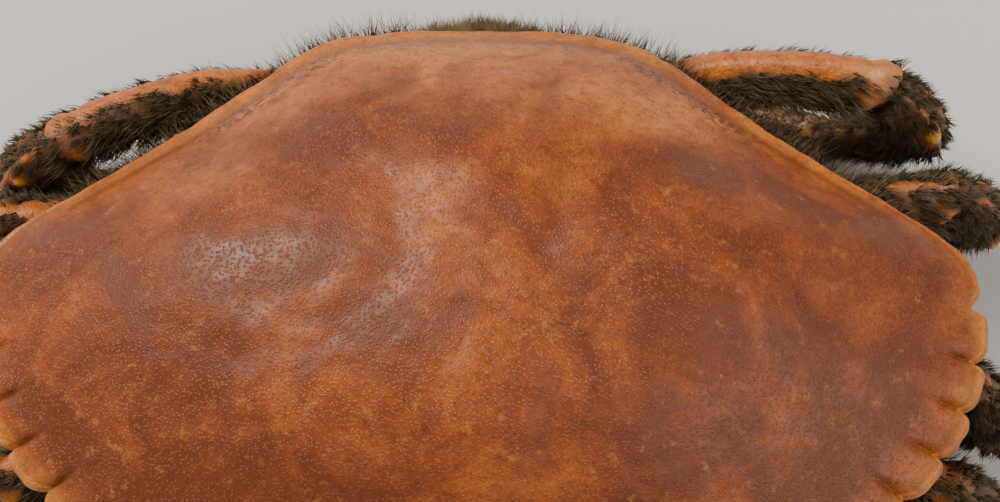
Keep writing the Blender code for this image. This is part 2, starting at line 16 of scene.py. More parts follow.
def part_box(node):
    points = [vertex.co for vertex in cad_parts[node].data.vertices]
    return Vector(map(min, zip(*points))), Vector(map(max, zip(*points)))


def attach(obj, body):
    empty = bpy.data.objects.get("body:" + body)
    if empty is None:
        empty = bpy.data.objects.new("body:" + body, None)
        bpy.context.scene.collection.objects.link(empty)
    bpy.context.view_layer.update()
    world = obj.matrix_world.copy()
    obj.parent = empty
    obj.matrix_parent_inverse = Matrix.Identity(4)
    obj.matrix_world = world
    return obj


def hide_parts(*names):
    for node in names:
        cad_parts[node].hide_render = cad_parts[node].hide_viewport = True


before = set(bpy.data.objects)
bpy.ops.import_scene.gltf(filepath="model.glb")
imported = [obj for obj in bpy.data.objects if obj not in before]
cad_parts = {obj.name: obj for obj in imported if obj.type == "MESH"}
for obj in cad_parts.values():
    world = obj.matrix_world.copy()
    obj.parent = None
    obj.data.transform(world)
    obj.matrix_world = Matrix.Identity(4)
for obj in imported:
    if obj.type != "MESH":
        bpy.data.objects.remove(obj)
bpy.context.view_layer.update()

MM = 0.001
SHIFT = np.array([0, 12.5, 0])
UP = np.array([0.0, 0.0, 1.0])
ARC_STEPS = 480
NOISE_CELLS = 32

# The carapace seen from above.
HALF_WIDTH = 82.5
FRONT_REACH = 54.0
FRONT_POWER = 2.15
REAR_OUTLINE = [(82.5, 0), (81.0, 6.8), (76.0, 12.2), (65.0, 19.6), (50.0, 29.8), (39.0, 38.2),
                (32.0, 43.8), (24.0, 47.8), (12.0, 49.6), (0, 50)]
FRONT_TEETH = [(0, 2.6), (2.3, 0.6), (4.8, 2.2), (7.2, 0.2), (9.4, 1.6), (10.6, -2.6), (13.2, -4.0),
               (15.8, -2.6), (17.2, 1.0), (19.2, 0.6)]
EDGE_LOBES = 9
LOBE_DEPTH = 2.5
LOBE_REACH = 0.6
LOBE_SQUARENESS = 4.7
FRONT_STEPS, LOBE_STEPS, REAR_STEPS = 56, 28, 96

# Heights of the shell.
TOP = 67.0
SIDE_EDGE = 41.0
FRONT_EDGE = 43.0
REAR_EDGE = 37.5
FLANGE = 1.2
BELLY = 10.0
RIM = 3.4
DOME_POWER = 2.2

# The top's rings as shares of the outline, then the rim's rings, which turn over the edge: share of
# the outline, height over the edge, and how far a ring goes up and down with the lobes.
TOP_SHARES = np.concatenate([np.linspace(0.02, 0.86, 62), np.linspace(0.868, 0.984, 34)])
RIM_ROWS = [(0.99, 0.75, 1), (0.995, 0.5, 1), (0.9985, 0.15, 1), (1.0, -0.35, 1), (1.0015, -0.9, 0.8),
            (1.001, -1.5, 0.6), (0.998, -2.1, 0.3), (0.991, -2.7, 0), (0.98, -3.15, 0), (0.955, -3.4, 0),
            (0.75, -3.6, 0), (0.4, -4.5, 0)]
ROUGH_ROWS = len(RIM_ROWS) + 6

Swelling = namedtuple("Swelling", "x y radius height")
SWELLINGS = [Swelling(0, -20, 17, 1.6), Swelling(0, 20, 11, 1.5), Swelling(27, -27, 12, 1.3),
             Swelling(43, -2, 18, 1.8), Swelling(30, 19, 13, 1.2)]

# Furrows between the regions of the carapace: points of each, then its width and depth.
Furrow = namedtuple("Furrow", "points width depth")
FURROWS = [
    Furrow([(0, 6.0), (4, 5.6), (8.5, 4.0), (10.5, 1)], 2.2, 0.4),
    Furrow([(10.5, 1), (15, -5), (21, -9.5), (30, -13), (41, -13.5)], 3.2, 0.55),
    Furrow([(10.5, 1), (13, 7), (13.5, 14), (11.5, 21), (11, 28), (13.5, 35)], 2.8, 0.62),
    Furrow([(13.5, 14), (22, 15.5), (33, 19), (44, 20)], 4.2, 0.35),
    Furrow([(4.5, -46), (5.5, -38), (9.5, -31), (12, -24)], 2.8, 0.5),
    Furrow([(41, -13.5), (50, -8), (57, 1)], 4.5, 0.35),
    Furrow([(24, -45), (27, -36), (33, -28), (41, -24)], 3.6, 0.35),
]

# The underside. Its rings are numbered from 0 at the rim to 7 in the middle of the breastplate.
Oval = namedtuple("Oval", "half_width front rear height")
UNDER_EDGE = Oval(41.0, 44.0, 45.0, 29.5)
LEG_LINE = Oval(36.0, 31.0, 41.0, 13.5)
BELLY_EDGE = Oval(29.5, 25.0, 36.0, BELLY)
BODY_SIDES = 400
BODY_ROWS = np.concatenate([np.linspace(0, 5.4, 88), [5.7, 6.2, 7]])
BELLY_GROOVES = (-21, -6, 10, 27)

# A ring's number of sides and how square it is: 2 is round.
Ring = namedtuple("Ring", "sides power")
# A segment turns from its first azimuth and pitch to its last: evenly, or early where ease is over 1.
Segment = namedtuple("Segment", "length height width azimuth pitch ease", defaults=[1])
# A leg's bare strip reaches so many degrees from its crest, to the front and to the rear, the
# patch says how pale the end of its upper part is, and the hinge is the place of the yellow
# knob on its second part: share along and turn.
Leg = namedtuple("Leg", "root segments bare patch hinge")

# Shares of a segment's half height and half width along its length.
MERUS_SHAPE = [(0, 0.6, 0.76), (0.07, 0.78, 0.95), (0.115, 0.8, 0.96), (0.15, 0.62, 0.76),
               (0.19, 0.78, 0.9), (0.255, 0.84, 0.94), (0.285, 0.76, 0.88), (0.33, 0.86, 0.94),
               (0.6, 0.96, 0.96), (0.88, 0.95, 1.0), (0.96, 0.93, 1.02), (1, 0.86, 0.95)]
CARPUS_SHAPE = [(0, 0.66, 0.74), (0.12, 0.8, 0.86), (0.3, 0.93, 0.95), (0.6, 0.98, 0.98),
                (0.9, 1.0, 1.04), (1, 0.88, 0.94)]
PROPODUS_SHAPE = [(0, 0.66, 0.76), (0.12, 0.86, 0.92), (0.4, 0.98, 0.98), (0.85, 0.82, 0.88),
                  (0.96, 0.8, 0.86), (1, 0.72, 0.8)]
DACTYL_SHAPE = [(0, 0.7, 0.78), (0.1, 0.9, 0.95), (0.35, 0.86, 0.84), (0.68, 0.6, 0.56),
                (0.88, 0.34, 0.33), (0.97, 0.16, 0.16), (1, 0.06, 0.06)]
LEG_SHAPES = [MERUS_SHAPE, CARPUS_SHAPE, PROPODUS_SHAPE, DACTYL_SHAPE]
LEG_PARTS = ["merus", "carpus", "propodus", "dactyl"]
LEG_HEIGHTS = [6.6, 6.2, 5.4, 4.1]
LEG_WIDTHS = [4.5, 4.5, 3.9, 3.3]
LEG_EASES = [2, 1, 1, 1]
LEG_ROWS = [80, 40, 46, 46]
LEG_RING = Ring(56, 2.35)
SKIN_DEPTH = 0.25
MIDDLE_LEG_PITCH = [(13, 7), (-40, -98), (-154, -172), (-170, -188)]
REAR_LEG_PITCH = [(24, 6), (-36, -86), (-122, -146), (-160, -184)]

# The yellow knobs at the hinges: place on a leg's upper part, reach along and round, and height.
MERUS_HINGE = (0.95, 12)
HINGE_LENGTH = 1.4
HINGE_TURN = 17
HINGE_HEIGHT = 1.2


def leg(root, azimuths, fold, lengths, girth, pitches, bare=(-4, 16), patch=0.15, hinge=(0.93, 55)):
    """A walking leg, whose upper part turns from one azimuth to the other, and the rest folds from there."""
    turns = [azimuths] + [(azimuths[1] + fold,) * 2] * 3
    heights, widths = ([size * girth for size in sizes] for sizes in (LEG_HEIGHTS, LEG_WIDTHS))
    segments = [Segment(*row) for row in zip(lengths, heights, widths, turns, pitches, LEG_EASES)]
    return Leg(root, segments, bare, patch, hinge)


# The legs from front to rear, all given as left ones. The last two differ on the right side.
LEFT_LEGS = {
    2: leg((33, -13, 19), (-14, -18), -6, (49, 18, 24, 23), 0.98, MIDDLE_LEG_PITCH),
    3: leg((34, 3, 19), (-10, -18), -4, (51, 19, 25, 24), 1.0, MIDDLE_LEG_PITCH),
    4: leg((32, 19, 19), (10, 4), -2, (50, 18, 24, 23), 0.98, MIDDLE_LEG_PITCH, (-14, 4)),
    5: leg((17.5, 36, 23), (46, -13), -10, (57, 16.5, 21, 21), 0.94, REAR_LEG_PITCH, (18, 64), 0.6,
           (0.6, 58)),
}
RIGHT_LEGS = {
    2: LEFT_LEGS[2],
    3: LEFT_LEGS[3],
    4: leg((32, 18, 19), (6, -4), -2, (50, 18, 24, 23), 0.98, MIDDLE_LEG_PITCH),
    5: leg((17.5, 36, 23), (42, -29), 16, (60, 16.5, 21, 21), 0.94, REAR_LEG_PITCH, (-8, 60), 0.2,
           (0.54, 34)),
}
LEGS = {"left": LEFT_LEGS, "right": RIGHT_LEGS}
SIDES = {"left": 1, "right": -1}

# A claw-bearing leg: arm, wrist and hand, with the fingers pointing to the middle.
CLAW_ROOT = (24, -27, 19)
CLAW_RING = Ring(88, 2.15)
ARM = Segment(45, 8.2, 6.8, (-17, -22), (10, 4))
WRIST = Segment(20, 12.2, 10.6, (-48, -108), (0, -3))
HAND = Segment(71, 17.0, 10.6, (-160, -178), (-5, -14))
ARM_SHAPE = [(0, 0.7, 0.8), (0.15, 0.76, 0.86), (0.22, 0.68, 0.78), (0.28, 0.82, 0.9), (0.45, 0.95, 1),
             (0.85, 1.08, 1.06), (0.96, 1.06, 1.06), (1, 0.96, 0.98)]
WRIST_SHAPE = [(0, 0.64, 0.64), (0.14, 0.84, 0.86), (0.42, 0.98, 0.99), (0.78, 0.95, 0.97),
               (0.94, 0.84, 0.86), (1, 0.72, 0.76)]
ARM_ROWS, WRIST_ROWS, FINGER_ROWS = 64, 50, 76
HAND_SHARES = np.concatenate([np.linspace(0, 0.565, 72), np.linspace(0.567, 0.594, 30),
                              np.linspace(0.6, 1, 64)])

# The palm, the fixed finger below and the movable one: distance along the hand or finger,
# height of the middle above the axis, half height and half width.
PALM_END = 0.575
WALL = PALM_END + 0.006
STEP_END = PALM_END + 0.012
PALM_SHAPE = [(0, 0, 8.4, 7.6), (0.05, 0.5, 11.6, 9.2), (0.17, 1.0, 15.2, 10.4), (0.33, 1.4, 16.9, 10.8),
              (0.48, 1.2, 16.9, 10.2), (0.545, 0.9, 16.3, 9.7), (0.565, 0.85, 15.8, 9.2),
              (PALM_END, 0.8, 15.2, 8.6)]
FIXED_SHAPE = [(STEP_END, -7.7, 7.3, 7.7), (0.66, -8.2, 6.5, 6.8), (0.8, -7.4, 5.0, 5.4),
               (0.92, -5.4, 3.1, 3.6), (0.985, -3.8, 1.4, 1.6), (1, -3.5, 0.5, 0.6)]
PALM_CLEAR = 20
LEDGE = -0.5
FILLET = 2.4
BLEND_END = 0.74
FINGER_SHAPE = [(0, 7.6, 6.9, 6.9), (0.05, 7.9, 7.2, 7.1), (0.14, 8.3, 7.2, 6.8), (0.4, 7.6, 6.0, 5.6),
                (0.7, 4.8, 4.4, 4.2), (0.88, 2.0, 2.7, 2.8), (0.975, 0.6, 1.3, 1.5), (1, 0.3, 0.5, 0.6)]
FINGER_START = PALM_END + 0.0165
FINGER_END = 1.01
TEETH = 5
TOOTH_HEIGHT = 1.0

# The tail lies folded under the body: two narrow plates behind, then a broad oval flap.
TAIL_ROOT = (0, 46.0, 33.5)
TAIL_REAR = Segment(27.5, 2.4, 17.5, (-90, -90), (-142, -50))
TAIL_FLAP = Segment(55, 2.7, 22.5, (-90, -90), (-7, 2))
TAIL_REAR_SHAPE = [(0, 0.7, 0.86), (0.06, 1, 0.9), (0.44, 1, 0.98), (0.5, 0.62, 0.92), (0.56, 1, 0.94),
                   (0.96, 1, 0.9), (1, 0.8, 0.84)]
TAIL_FLAP_WIDTHS = [(0, 0.62), (0.17, 0.82), (0.34, 0.94), (0.52, 1), (0.7, 0.94), (0.76, 0.8),
                    (0.9, 0.52), (0.97, 0.3), (1, 0.12)]
REAR_PLATE_ENDS = [0, 0.5, 1]
FLAP_PLATE_ENDS = [0, 0.17, 0.34, 0.52, 0.76, 1]
REAR_RIDGES = (0.2, 0.4, 0.66, 0.88)
TAIL_SIDE_LINE = 11.5
TAIL_REAR_ROWS, TAIL_FLAP_ROWS = 60, 112
TAIL_RING = Ring(104, 2.6)

# The face.
EYE = (13.2, -51.0, 41.4)
EYE_AXIS = (0.12, -0.97, 0.06)
EYE_BACK = 4.125
EYE_LENGTH = 7.425
EYE_SHAPE = [(0, 1.2), (0.12, 1.7), (0.34, 1.62), (0.42, 1.95), (0.62, 2.3), (0.8, 2.05), (0.93, 1.25),
             (1, 0.2)]
EYE_STEPS = 48
# The feelers' shapes and the palp's have one share for both the half height and the half width.
FEELER_SHAPE = [(0, 1), (0.12, 1.02), (0.15, 0.86), (0.18, 0.98), (0.29, 0.94), (0.31, 0.6), (0.36, 0.5),
                (0.7, 0.32), (1, 0.14)]
INNER_FEELER_SHAPE = [(0, 1), (0.36, 1), (0.4, 0.8), (0.44, 0.94), (0.6, 0.62), (1, 0.3)]
# A feeler's root, its segment and shape, and how many rings its lash has.
Feeler = namedtuple("Feeler", "root segment shape rings")
FEELERS = {
    "feeler": Feeler((7.6, -46.5, 37.6), Segment(24, 1.5, 1.5, (-84, -48), (10, 22)), FEELER_SHAPE, 30),
    "inner_feeler": Feeler((2.9, -46.5, 38.2), Segment(11, 1.25, 1.25, (-80, -40), (4, -70)),
                           INNER_FEELER_SHAPE, 16),
}
FEELER_ROWS = 150
FEELER_RING = Ring(20, 2)
MOUTH_ROOT = (5.5, -44.8, 31.5)
MOUTH_PLATE = Segment(23.5, 2.0, 5.0, (90, 90), (-54, -54))
MOUTH_INNER_TURN = 180
MOUTH_SHAPE = [(0, 0.6, 0.62), (0.08, 0.95, 0.9), (0.36, 1.0, 1.0), (0.4, 0.6, 0.94), (0.44, 1, 1),
               (0.9, 1, 0.9), (1, 0.6, 0.62)]
MOUTH_ROWS = 60
MOUTH_RING = Ring(64, 3)

# The small leg that hangs from each mouth plate's inner corner, and the rod along its outer side.
PALP_ROOT = (3.2, -46.3, 30.8)
PALP = Segment(11.5, 0.95, 1.2, (-50, 120), (-30, -84))
PALP_SHAPE = [(0, 0.9), (0.3, 1.05), (0.36, 0.8), (0.42, 0.95), (0.66, 0.85), (0.7, 0.62), (1, 0.2)]
PALP_ROWS = 80
PALP_RING = Ring(24, 2.2)
ROD_ROOT = (11.3, -44.3, 31.0)
ROD = Segment(22.5, 1.3, 1.35, (90, 90), (-53, -56))
ROD_SHAPE = [(0, 0.4, 0.4), (0.12, 0.7, 0.75), (0.5, 0.9, 0.9), (0.9, 1, 1), (1, 0.8, 0.8)]
ROD_ROWS = 60
ROD_RING = Ring(24, 2.6)

# Rows that close a segment: push along it, share of the end ring's size, and how far it is membrane.
NECK = [(-2.6, 0.62, 1), (-1.5, 0.8, 1), (-0.7, 0.86, 1), (-0.1, 0.84, 1), (0.15, 0.9, 0.6), (0.4, 0.97, 0)]
CUP = [(0.18, 0.975, 0), (0.2, 0.93, 0), (0, 0.88, 0.3), (-0.8, 0.83, 1), (-2.2, 0.72, 1), (-3.0, 0.4, 1)]
TIP = [(0, 0.5, 0)]
ARM_NECK = [(-8.0, 0.5, 0.6), (-6.5, 0.86, 0.5), (-3.5, 0.96, 0.2), (-0.7, 0.98, 0)]
FINGER_NECK = [(-3.2, 0.55, 1), (-2.2, 0.8, 1), (-1.2, 0.88, 1), (-0.4, 0.9, 0.7), (0.0, 0.96, 0)]

# Hair: a tuft's hairs are thin three-sided spikes that end in a point, and the longer ones bend once.
CORNERS = np.array([[math.cos(a), math.sin(a)] for a in (0, 2 * math.pi / 3, 4 * math.pi / 3)])
SPIKE_QUADS = np.array([(0, 1, 4, 3), (1, 2, 5, 4), (2, 0, 3, 5)])
SPIKE_ENDS = np.array([(3, 4, 6), (4, 5, 6), (5, 3, 6), (0, 2, 1)])
SPIKE_TIPS = np.array([0, 0, 0, 0.5, 0.5, 0.5, 1])
SPIKE_UV = np.array([(0, 0), (0, 1), (0, 2), (1.4, 0.2), (1.4, 1), (1.4, 1.8), (2.8, 1)]) * 0.001
Spike = namedtuple("Spike", "points faces")
BENT = Spike([0, 1, 2, 3, 4, 5, 6], [SPIKE_QUADS, SPIKE_ENDS])
STRAIGHT = Spike([0, 1, 2, 6], [np.array([(0, 1, 3), (1, 2, 3), (2, 0, 3), (0, 2, 1)])])
TUFT_WIDTH = 0.32
HAIR_WAVER = 0.13
LOWEST_HAIR = 0.02

# Tufts in all, hairs' length and lean in degrees, hairs in a tuft, how far tufts swing, and radius.
Growth = namedtuple("Growth", "count length lean hairs spread radius spike",
                    defaults=[34, 7, 0.22, 0.075, BENT])
LEG_HAIR = [Growth(600, 3.1, 34), Growth(460, 2.9, 36), Growth(600, 2.6, 36, spike=STRAIGHT),
            Growth(360, 1.9, 34, spike=STRAIGHT)]
REAR_MERUS_TUFTS = 780
TAIL_EDGE_HAIR = Growth(1100, 2.3, 36, 6, 0.25, 0.06, STRAIGHT)
FLAP_TUFTS = 1900
TAIL_TOP_HAIR = Growth(1300, 3.4, 52, 6, 0.35, 0.055, STRAIGHT)
TAIL_SEAM_HAIR = Growth(1500, 1.9, 18, 6, 0.3, 0.05, STRAIGHT)
MOUTH_HAIR = Growth(300, 1.3, 40, 6, 0.22, 0.045, STRAIGHT)
BODY_DOWN = Growth(2600, 1.5, 36, 6, 0.5, 0.05, STRAIGHT)
FRINGE = Growth(1900, 9.8, 62, 7, 0.25, 0.07)
FRINGE_RISE = 0.9

# Colours, as linear red, green and blue.
ORANGE = (0.6, 0.172, 0.02)
COPPER = (0.45, 0.108, 0.013)
RUST = (0.3, 0.062, 0.01)
BRICK = (0.165, 0.034, 0.009)
UMBER = (0.065, 0.021, 0.009)
SEPIA = (0.125, 0.0288, 0.009)
BARK = (0.13, 0.06, 0.025)
AMBER = (0.72, 0.3, 0.045)
CREAM = (0.74, 0.55, 0.3)
SAND = (0.63, 0.4, 0.2)
BUFF = (0.55, 0.3, 0.11)
OLIVE = (0.11, 0.066, 0.03)
SOOT = (0.02, 0.013, 0.009)
SMOKE = (0.06, 0.034, 0.02)
GOLD = (0.8, 0.44, 0.05)
MEMBRANE = (0.2, 0.11, 0.05), (0.5, 0.33, 0.16)
EYE_BLACK = (0.006, 0.005, 0.005), (0.03, 0.016, 0.01)
BRISTLES = (0.026, 0.018, 0.008), (0.08, 0.056, 0.024), (0.19, 0.138, 0.066)
DOWN = (0.052, 0.034, 0.014), (0.12, 0.083, 0.034), (0.25, 0.178, 0.08)
FLOOR = (0.68, 0.665, 0.64), (0.7004, 0.68495, 0.6592)

# The camera, in metres, as the photo was taken: from above and a little in front.
ELEVATION = 72.0
DISTANCE = 0.34
ROLL = 0.5
LENS = 75.5
TARGET = Vector((0.0036, 0.0205, 0.045))

# The lights: place and size in metres, power in watts and colour. Then the world's colour and strength.
LAMPS = {"key": ((-0.45, 0.35, 0.75), 0.5, 9, (1, 0.95, 0.88)),
         "fill": ((0.7, -0.3, 0.6), 0.7, 3.5, (1, 0.97, 0.93))}
LAMP_TARGET = Vector((0, 0.01, 0.03))
WORLD = (0.95, 0.9, 0.83, 1)
WORLD_STRENGTH = 0.45
FLOOR_REACH = 2.0


def unit(vectors):
    return vectors / (np.linalg.norm(vectors, axis=-1, keepdims=True) + 1e-12)


def rise(low, high, value):
    """0 below low, 1 above high and a smooth step between them."""
    share = np.clip((value - low) / (high - low), 0, 1)
    return share * share * (3 - 2 * share)


def bell(distance, width):
    return np.exp(-(distance / width) ** 2)


def softly_higher(first, second, softness):
    """The higher of two heights, with a round change from one to the other."""
    return 0.5 * (first + second + np.sqrt((first - second) ** 2 + softness))


def noise(points, size, seed):
    """Smooth noise from -1 to 1, with lumps of about the given size in millimetres."""
    table = np.random.default_rng(seed).uniform(-1, 1, (NOISE_CELLS,) * 3)
    scaled = np.asarray(points) / size
    cell = np.floor(scaled).astype(int)
    part = scaled - cell
    part = part * part * (3 - 2 * part)
    total = np.zeros(scaled.shape[:-1])
    for corner in itertools.product((0, 1), repeat=3):
        weight = np.prod(np.where(corner, part, 1 - part), axis=-1)
        place = (cell + corner) % NOISE_CELLS
        total += weight * table[place[..., 0], place[..., 1], place[..., 2]]
    return total


def layers(points, *parts):
    """Noise of several sizes. Each part is its strength, size and seed."""
    return sum(strength * noise(points, size, seed) for strength, size, seed in parts)


def profile(stations, along):
    """Each column of a table of stations at the given distances, on a curve that never overshoots."""
    table = np.array(stations, float)
    knots, values = table[:, 0], table[:, 1:]
    secants = np.diff(values, axis=0) / np.diff(knots)[:, None]
    before, after = secants[:-1], secants[1:]
    product = before * after
    total = np.where(product > 0, before + after, 1)
    inner = np.where(product > 0, 2 * product / total, 0)
    slopes = np.vstack([secants[:1], inner, secants[-1:]])
    along = np.clip(np.atleast_1d(along), knots[0], knots[-1])
    cell = np.clip(np.searchsorted(knots, along, side="right") - 1, 0, len(knots) - 2)
    span = (knots[cell + 1] - knots[cell])[:, None]
    t = (along - knots[cell])[:, None] / span
    return ((2 * t ** 3 - 3 * t ** 2 + 1) * values[cell] + (t ** 3 - 2 * t ** 2 + t) * span * slopes[cell]
            + (3 * t ** 2 - 2 * t ** 3) * values[cell + 1] + (t ** 3 - t ** 2) * span * slopes[cell + 1])


def catmull(points, steps):
    """Points at even steps along the Catmull-Rom curve through the given ones."""
    ends = np.array([points[0], *points, points[-1]], float)
    spans = len(points) - 1
    place = np.arange(steps + 1) * spans / steps
    span = np.minimum(place.astype(int), spans - 1)
    t = (place - span)[:, None]
    p0, p1, p2, p3 = (ends[span + k] for k in range(4))
    return 0.5 * (2 * p1 + (p2 - p0) * t + (2 * p0 - 5 * p1 + 4 * p2 - p3) * t ** 2
                  + (3 * p1 - p0 - 3 * p2 + p3) * t ** 3)


def full_turn(steps):
    return np.linspace(0, 2 * math.pi, steps, endpoint=False)


def grid_normals(grid):
    """Unit normals of a grid of closed rings, pointing away from the rings' middles."""
    along = np.gradient(grid, axis=0)
    around = np.roll(grid, -1, axis=1) - np.roll(grid, 1, axis=1)
    normals = unit(np.cross(around, along))
    outward = grid - grid.mean(axis=1, keepdims=True)
    return normals * (1 if (normals * outward).sum() > 0 else -1)


def raise_grid(grid, height):
    """Moves a grid's points along its normals."""
    return grid + grid_normals(grid) * height[..., None]


def grid_faces(rows, sides):
    index = np.arange(rows * sides).reshape(rows, sides)
    after = np.roll(index, -1, axis=1)
    return np.stack([index[:-1], after[:-1], after[1:], index[1:]], axis=-1).reshape(-1, 4)


def cap_faces(ring, pole):
    return np.stack([ring, np.roll(ring, -1), np.full(len(ring), pole)], axis=-1)


def signed_volume(points, faces):
    total = 0
    for group in faces:
        for step in range(1, group.shape[1] - 1):
            a, b, c = points[group[:, 0]], points[group[:, step]], points[group[:, step + 1]]
            total += (a * np.cross(b, c)).sum()
    return total


def fill_mesh(name, points, faces, side):
    """A smooth mesh from points and groups of faces with equal numbers of corners. Side -1 mirrors it."""
    mesh = bpy.data.meshes.new(name)
    mesh.vertices.add(len(points))
    mesh.vertices.foreach_set("co", ((points * (side, 1, 1) + SHIFT) * MM).astype(np.float32).ravel())
    corners = np.concatenate([group[:, ::side].ravel() for group in faces]).astype(np.int32)
    sizes = np.concatenate([np.full(len(group), group.shape[1]) for group in faces])
    starts = np.concatenate([[0], np.cumsum(sizes)[:-1]]).astype(np.int32)
    mesh.loops.add(len(corners))
    mesh.loops.foreach_set("vertex_index", corners)
    mesh.polygons.add(len(sizes))
    mesh.polygons.foreach_set("loop_start", starts)
    mesh.update(calc_edges=True)
    mesh.validate()
    mesh.shade_smooth()
    return mesh


def add_masks(mesh, masks):
    for name, values in masks.items():
        layer = mesh.attributes.new(name, "FLOAT", "POINT")
        layer.data.foreach_set("value", np.concatenate(values).astype(np.float32))


def link(name, mesh, look, nodes=()):
    """Makes the mesh a piece that stands for the given nodes. A look is a material and a slot name, which is
    not used.
    """
    material, slot = look
    mesh.materials.append(material)
    piece = bpy.data.objects.new(name, mesh)
    bpy.context.scene.collection.objects.link(piece)
    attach(piece, "root")
    if nodes:
        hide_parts(*nodes)


class Skin:
    """A closed surface from a grid of rings, or several of them, with its masks."""

    def __init__(self):
        self.points, self.faces, self.masks, self.count = [], [], {}, 0

    def add(self, grid, **masks):
        rows, sides = grid.shape[:2]
        points = np.concatenate([grid.reshape(-1, 3), grid[[0, -1]].mean(axis=1)])
        faces = [grid_faces(rows, sides), cap_faces(np.arange(sides)[::-1], rows * sides),
                 cap_faces(np.arange(sides) + (rows - 1) * sides, rows * sides + 1)]
        if signed_volume(points, faces) < 0:
            faces = [group[:, ::-1] for group in faces]
        for name, mask in masks.items():
            values = np.zeros((rows, sides)) + mask
            self.masks.setdefault(name, []).extend([values.ravel(), values[[0, -1]].mean(axis=1)])
        self.faces += [group + self.count for group in faces]
        self.points.append(points)
        self.count += len(points)
        return self

    def piece(self, node, look, side=1, ending="shell"):
        name = f"{node}_{ending}"
        mesh = fill_mesh(name, np.concatenate(self.points), self.faces, side)
        add_masks(mesh, self.masks)
        link(name, mesh, look, [node])


def spike_points(root, spot, heading, normal, length, wide):
    """The seven points of each hair: three round its root, three round its bend, and its tip."""
    start = root + spot - normal * 0.2
    middle = start + heading * length * 0.55 + normal * length * 0.05
    first = unit(np.cross(heading, normal))
    second = np.cross(heading, first)
    spikes = np.zeros((*heading.shape[:2], len(SPIKE_TIPS), 3))
    for corner, (x, y) in enumerate(CORNERS):
        ring = (first * x + second * y) * wide
        spikes[:, :, corner] = start + ring
        spikes[:, :, corner + 3] = middle + ring * 0.72
    spikes[:, :, 6] = root + spot * 0.55 + heading * length - normal * length * 0.1
    return spikes


class Coat:
    """Hair on grids of rings, gathered into one piece with its own map."""

    def __init__(self, seed):
        self.random = np.random.default_rng(seed)
        self.points, self.faces, self.tones, self.tips, self.uv = [], [], [], [], []
        self.count = 0

    def grow(self, grid, density, growth, tile, stretch=1.0, rising=math.inf):
        """Tufts on a grid, more where density is high and longer where stretch is.

        The tile is the grid's place in the map. Rising is how far hair may reach above its root.
        """
        cell, inside, root, flow = self.roots(grid, density, growth.count)
        normal = grid_normals(grid)[cell][:, None]
        spot, heading = self.headings(flow, normal, growth)
        length = growth.length * self.random.uniform(0.55, 1.15, (*spot.shape[:2], 1))
        length = length * self.random.uniform(0.75, 1.2, (growth.count, 1, 1))
        length = length * np.broadcast_to(stretch, grid.shape[:2])[cell][:, None, None]
        wide = growth.radius * self.random.uniform(0.7, 1.25, length.shape)
        spikes = spike_points(root, spot, heading, normal, length, wide)
        spikes[..., 2] = np.minimum(spikes[..., 2], root[..., 2:] + rising)
        tone = self.random.random((growth.count, 1, 1)) * 0.7 + self.random.random(length.shape) * 0.3
        place = np.array(tile[:2]) + np.array(tile[2:]) * (np.stack(cell, -1) + inside) / grid.shape[:2]
        self.keep(growth.spike, spikes, tone, place[:, None, None])

    def roots(self, grid, density, count):
        """The tufts' cells, their places inside these, their roots and the way hair lies there."""
        along = np.diff(grid, axis=0)
        around = (np.roll(grid, -1, axis=1) - grid)[:-1]
        chance = np.linalg.norm(np.cross(along, around), axis=-1) * density[:-1]
        pick = self.random.choice(chance.size, count, p=chance.ravel() / chance.sum())
        cell = np.divmod(pick, grid.shape[1])
        a, b = self.random.random((2, count, 1))
        root = grid[cell] + along[cell] * a + around[cell] * b
        return cell, np.hstack([a, b]), root[:, None], unit(along[cell])[:, None]

    def headings(self, flow, normal, growth):
        """Each hair's place in its tuft and its direction."""
        lean = math.radians(growth.lean) * self.random.uniform(0.6, 1.4, (growth.count, 1, 1))
        swing = self.random.normal(0, growth.spread, (growth.count, 1, 1))
        main = unit(flow * np.cos(lean) + normal * np.sin(lean) + np.cross(flow, normal) * swing)
        spot = self.random.normal(0, TUFT_WIDTH, (growth.count, growth.hairs, 3))
        spot -= normal * (spot * normal).sum(axis=-1, keepdims=True)
        return spot, unit(main + self.random.normal(0, HAIR_WAVER, spot.shape))

    def keep(self, spike, spikes, tone, place):
        kept = spike.points
        shape = (*tone.shape[:2], len(kept))
        first = self.count + np.arange(tone.size)[:, None, None] * len(kept)
        self.faces += [(first + group).reshape(-1, group.shape[1]) for group in spike.faces]
        self.points.append(spikes[:, :, kept].reshape(-1, 3))
        self.tones.append(np.broadcast_to(tone, shape).ravel())
        self.tips.append(np.broadcast_to(SPIKE_TIPS[kept], shape).ravel())
        self.uv.append((place + SPIKE_UV[kept] + np.zeros((*shape, 2))).reshape(-1, 2))
        self.count += math.prod(shape)

    def piece(self, name, look, side=1):
        points = np.concatenate(self.points)
        points[:, 2] = np.maximum(points[:, 2], LOWEST_HAIR)
        mesh = fill_mesh(name, points, self.faces, side)
        add_masks(mesh, {"tone": self.tones, "tip": self.tips})
        corners = np.zeros(len(mesh.loops), dtype=np.int32)
        mesh.loops.foreach_get("vertex_index", corners)
        layer = mesh.uv_layers.new(name="OFBake")
        layer.data.foreach_set("uv", np.concatenate(self.uv)[corners].astype(np.float32).ravel())
        link(name, mesh, look)


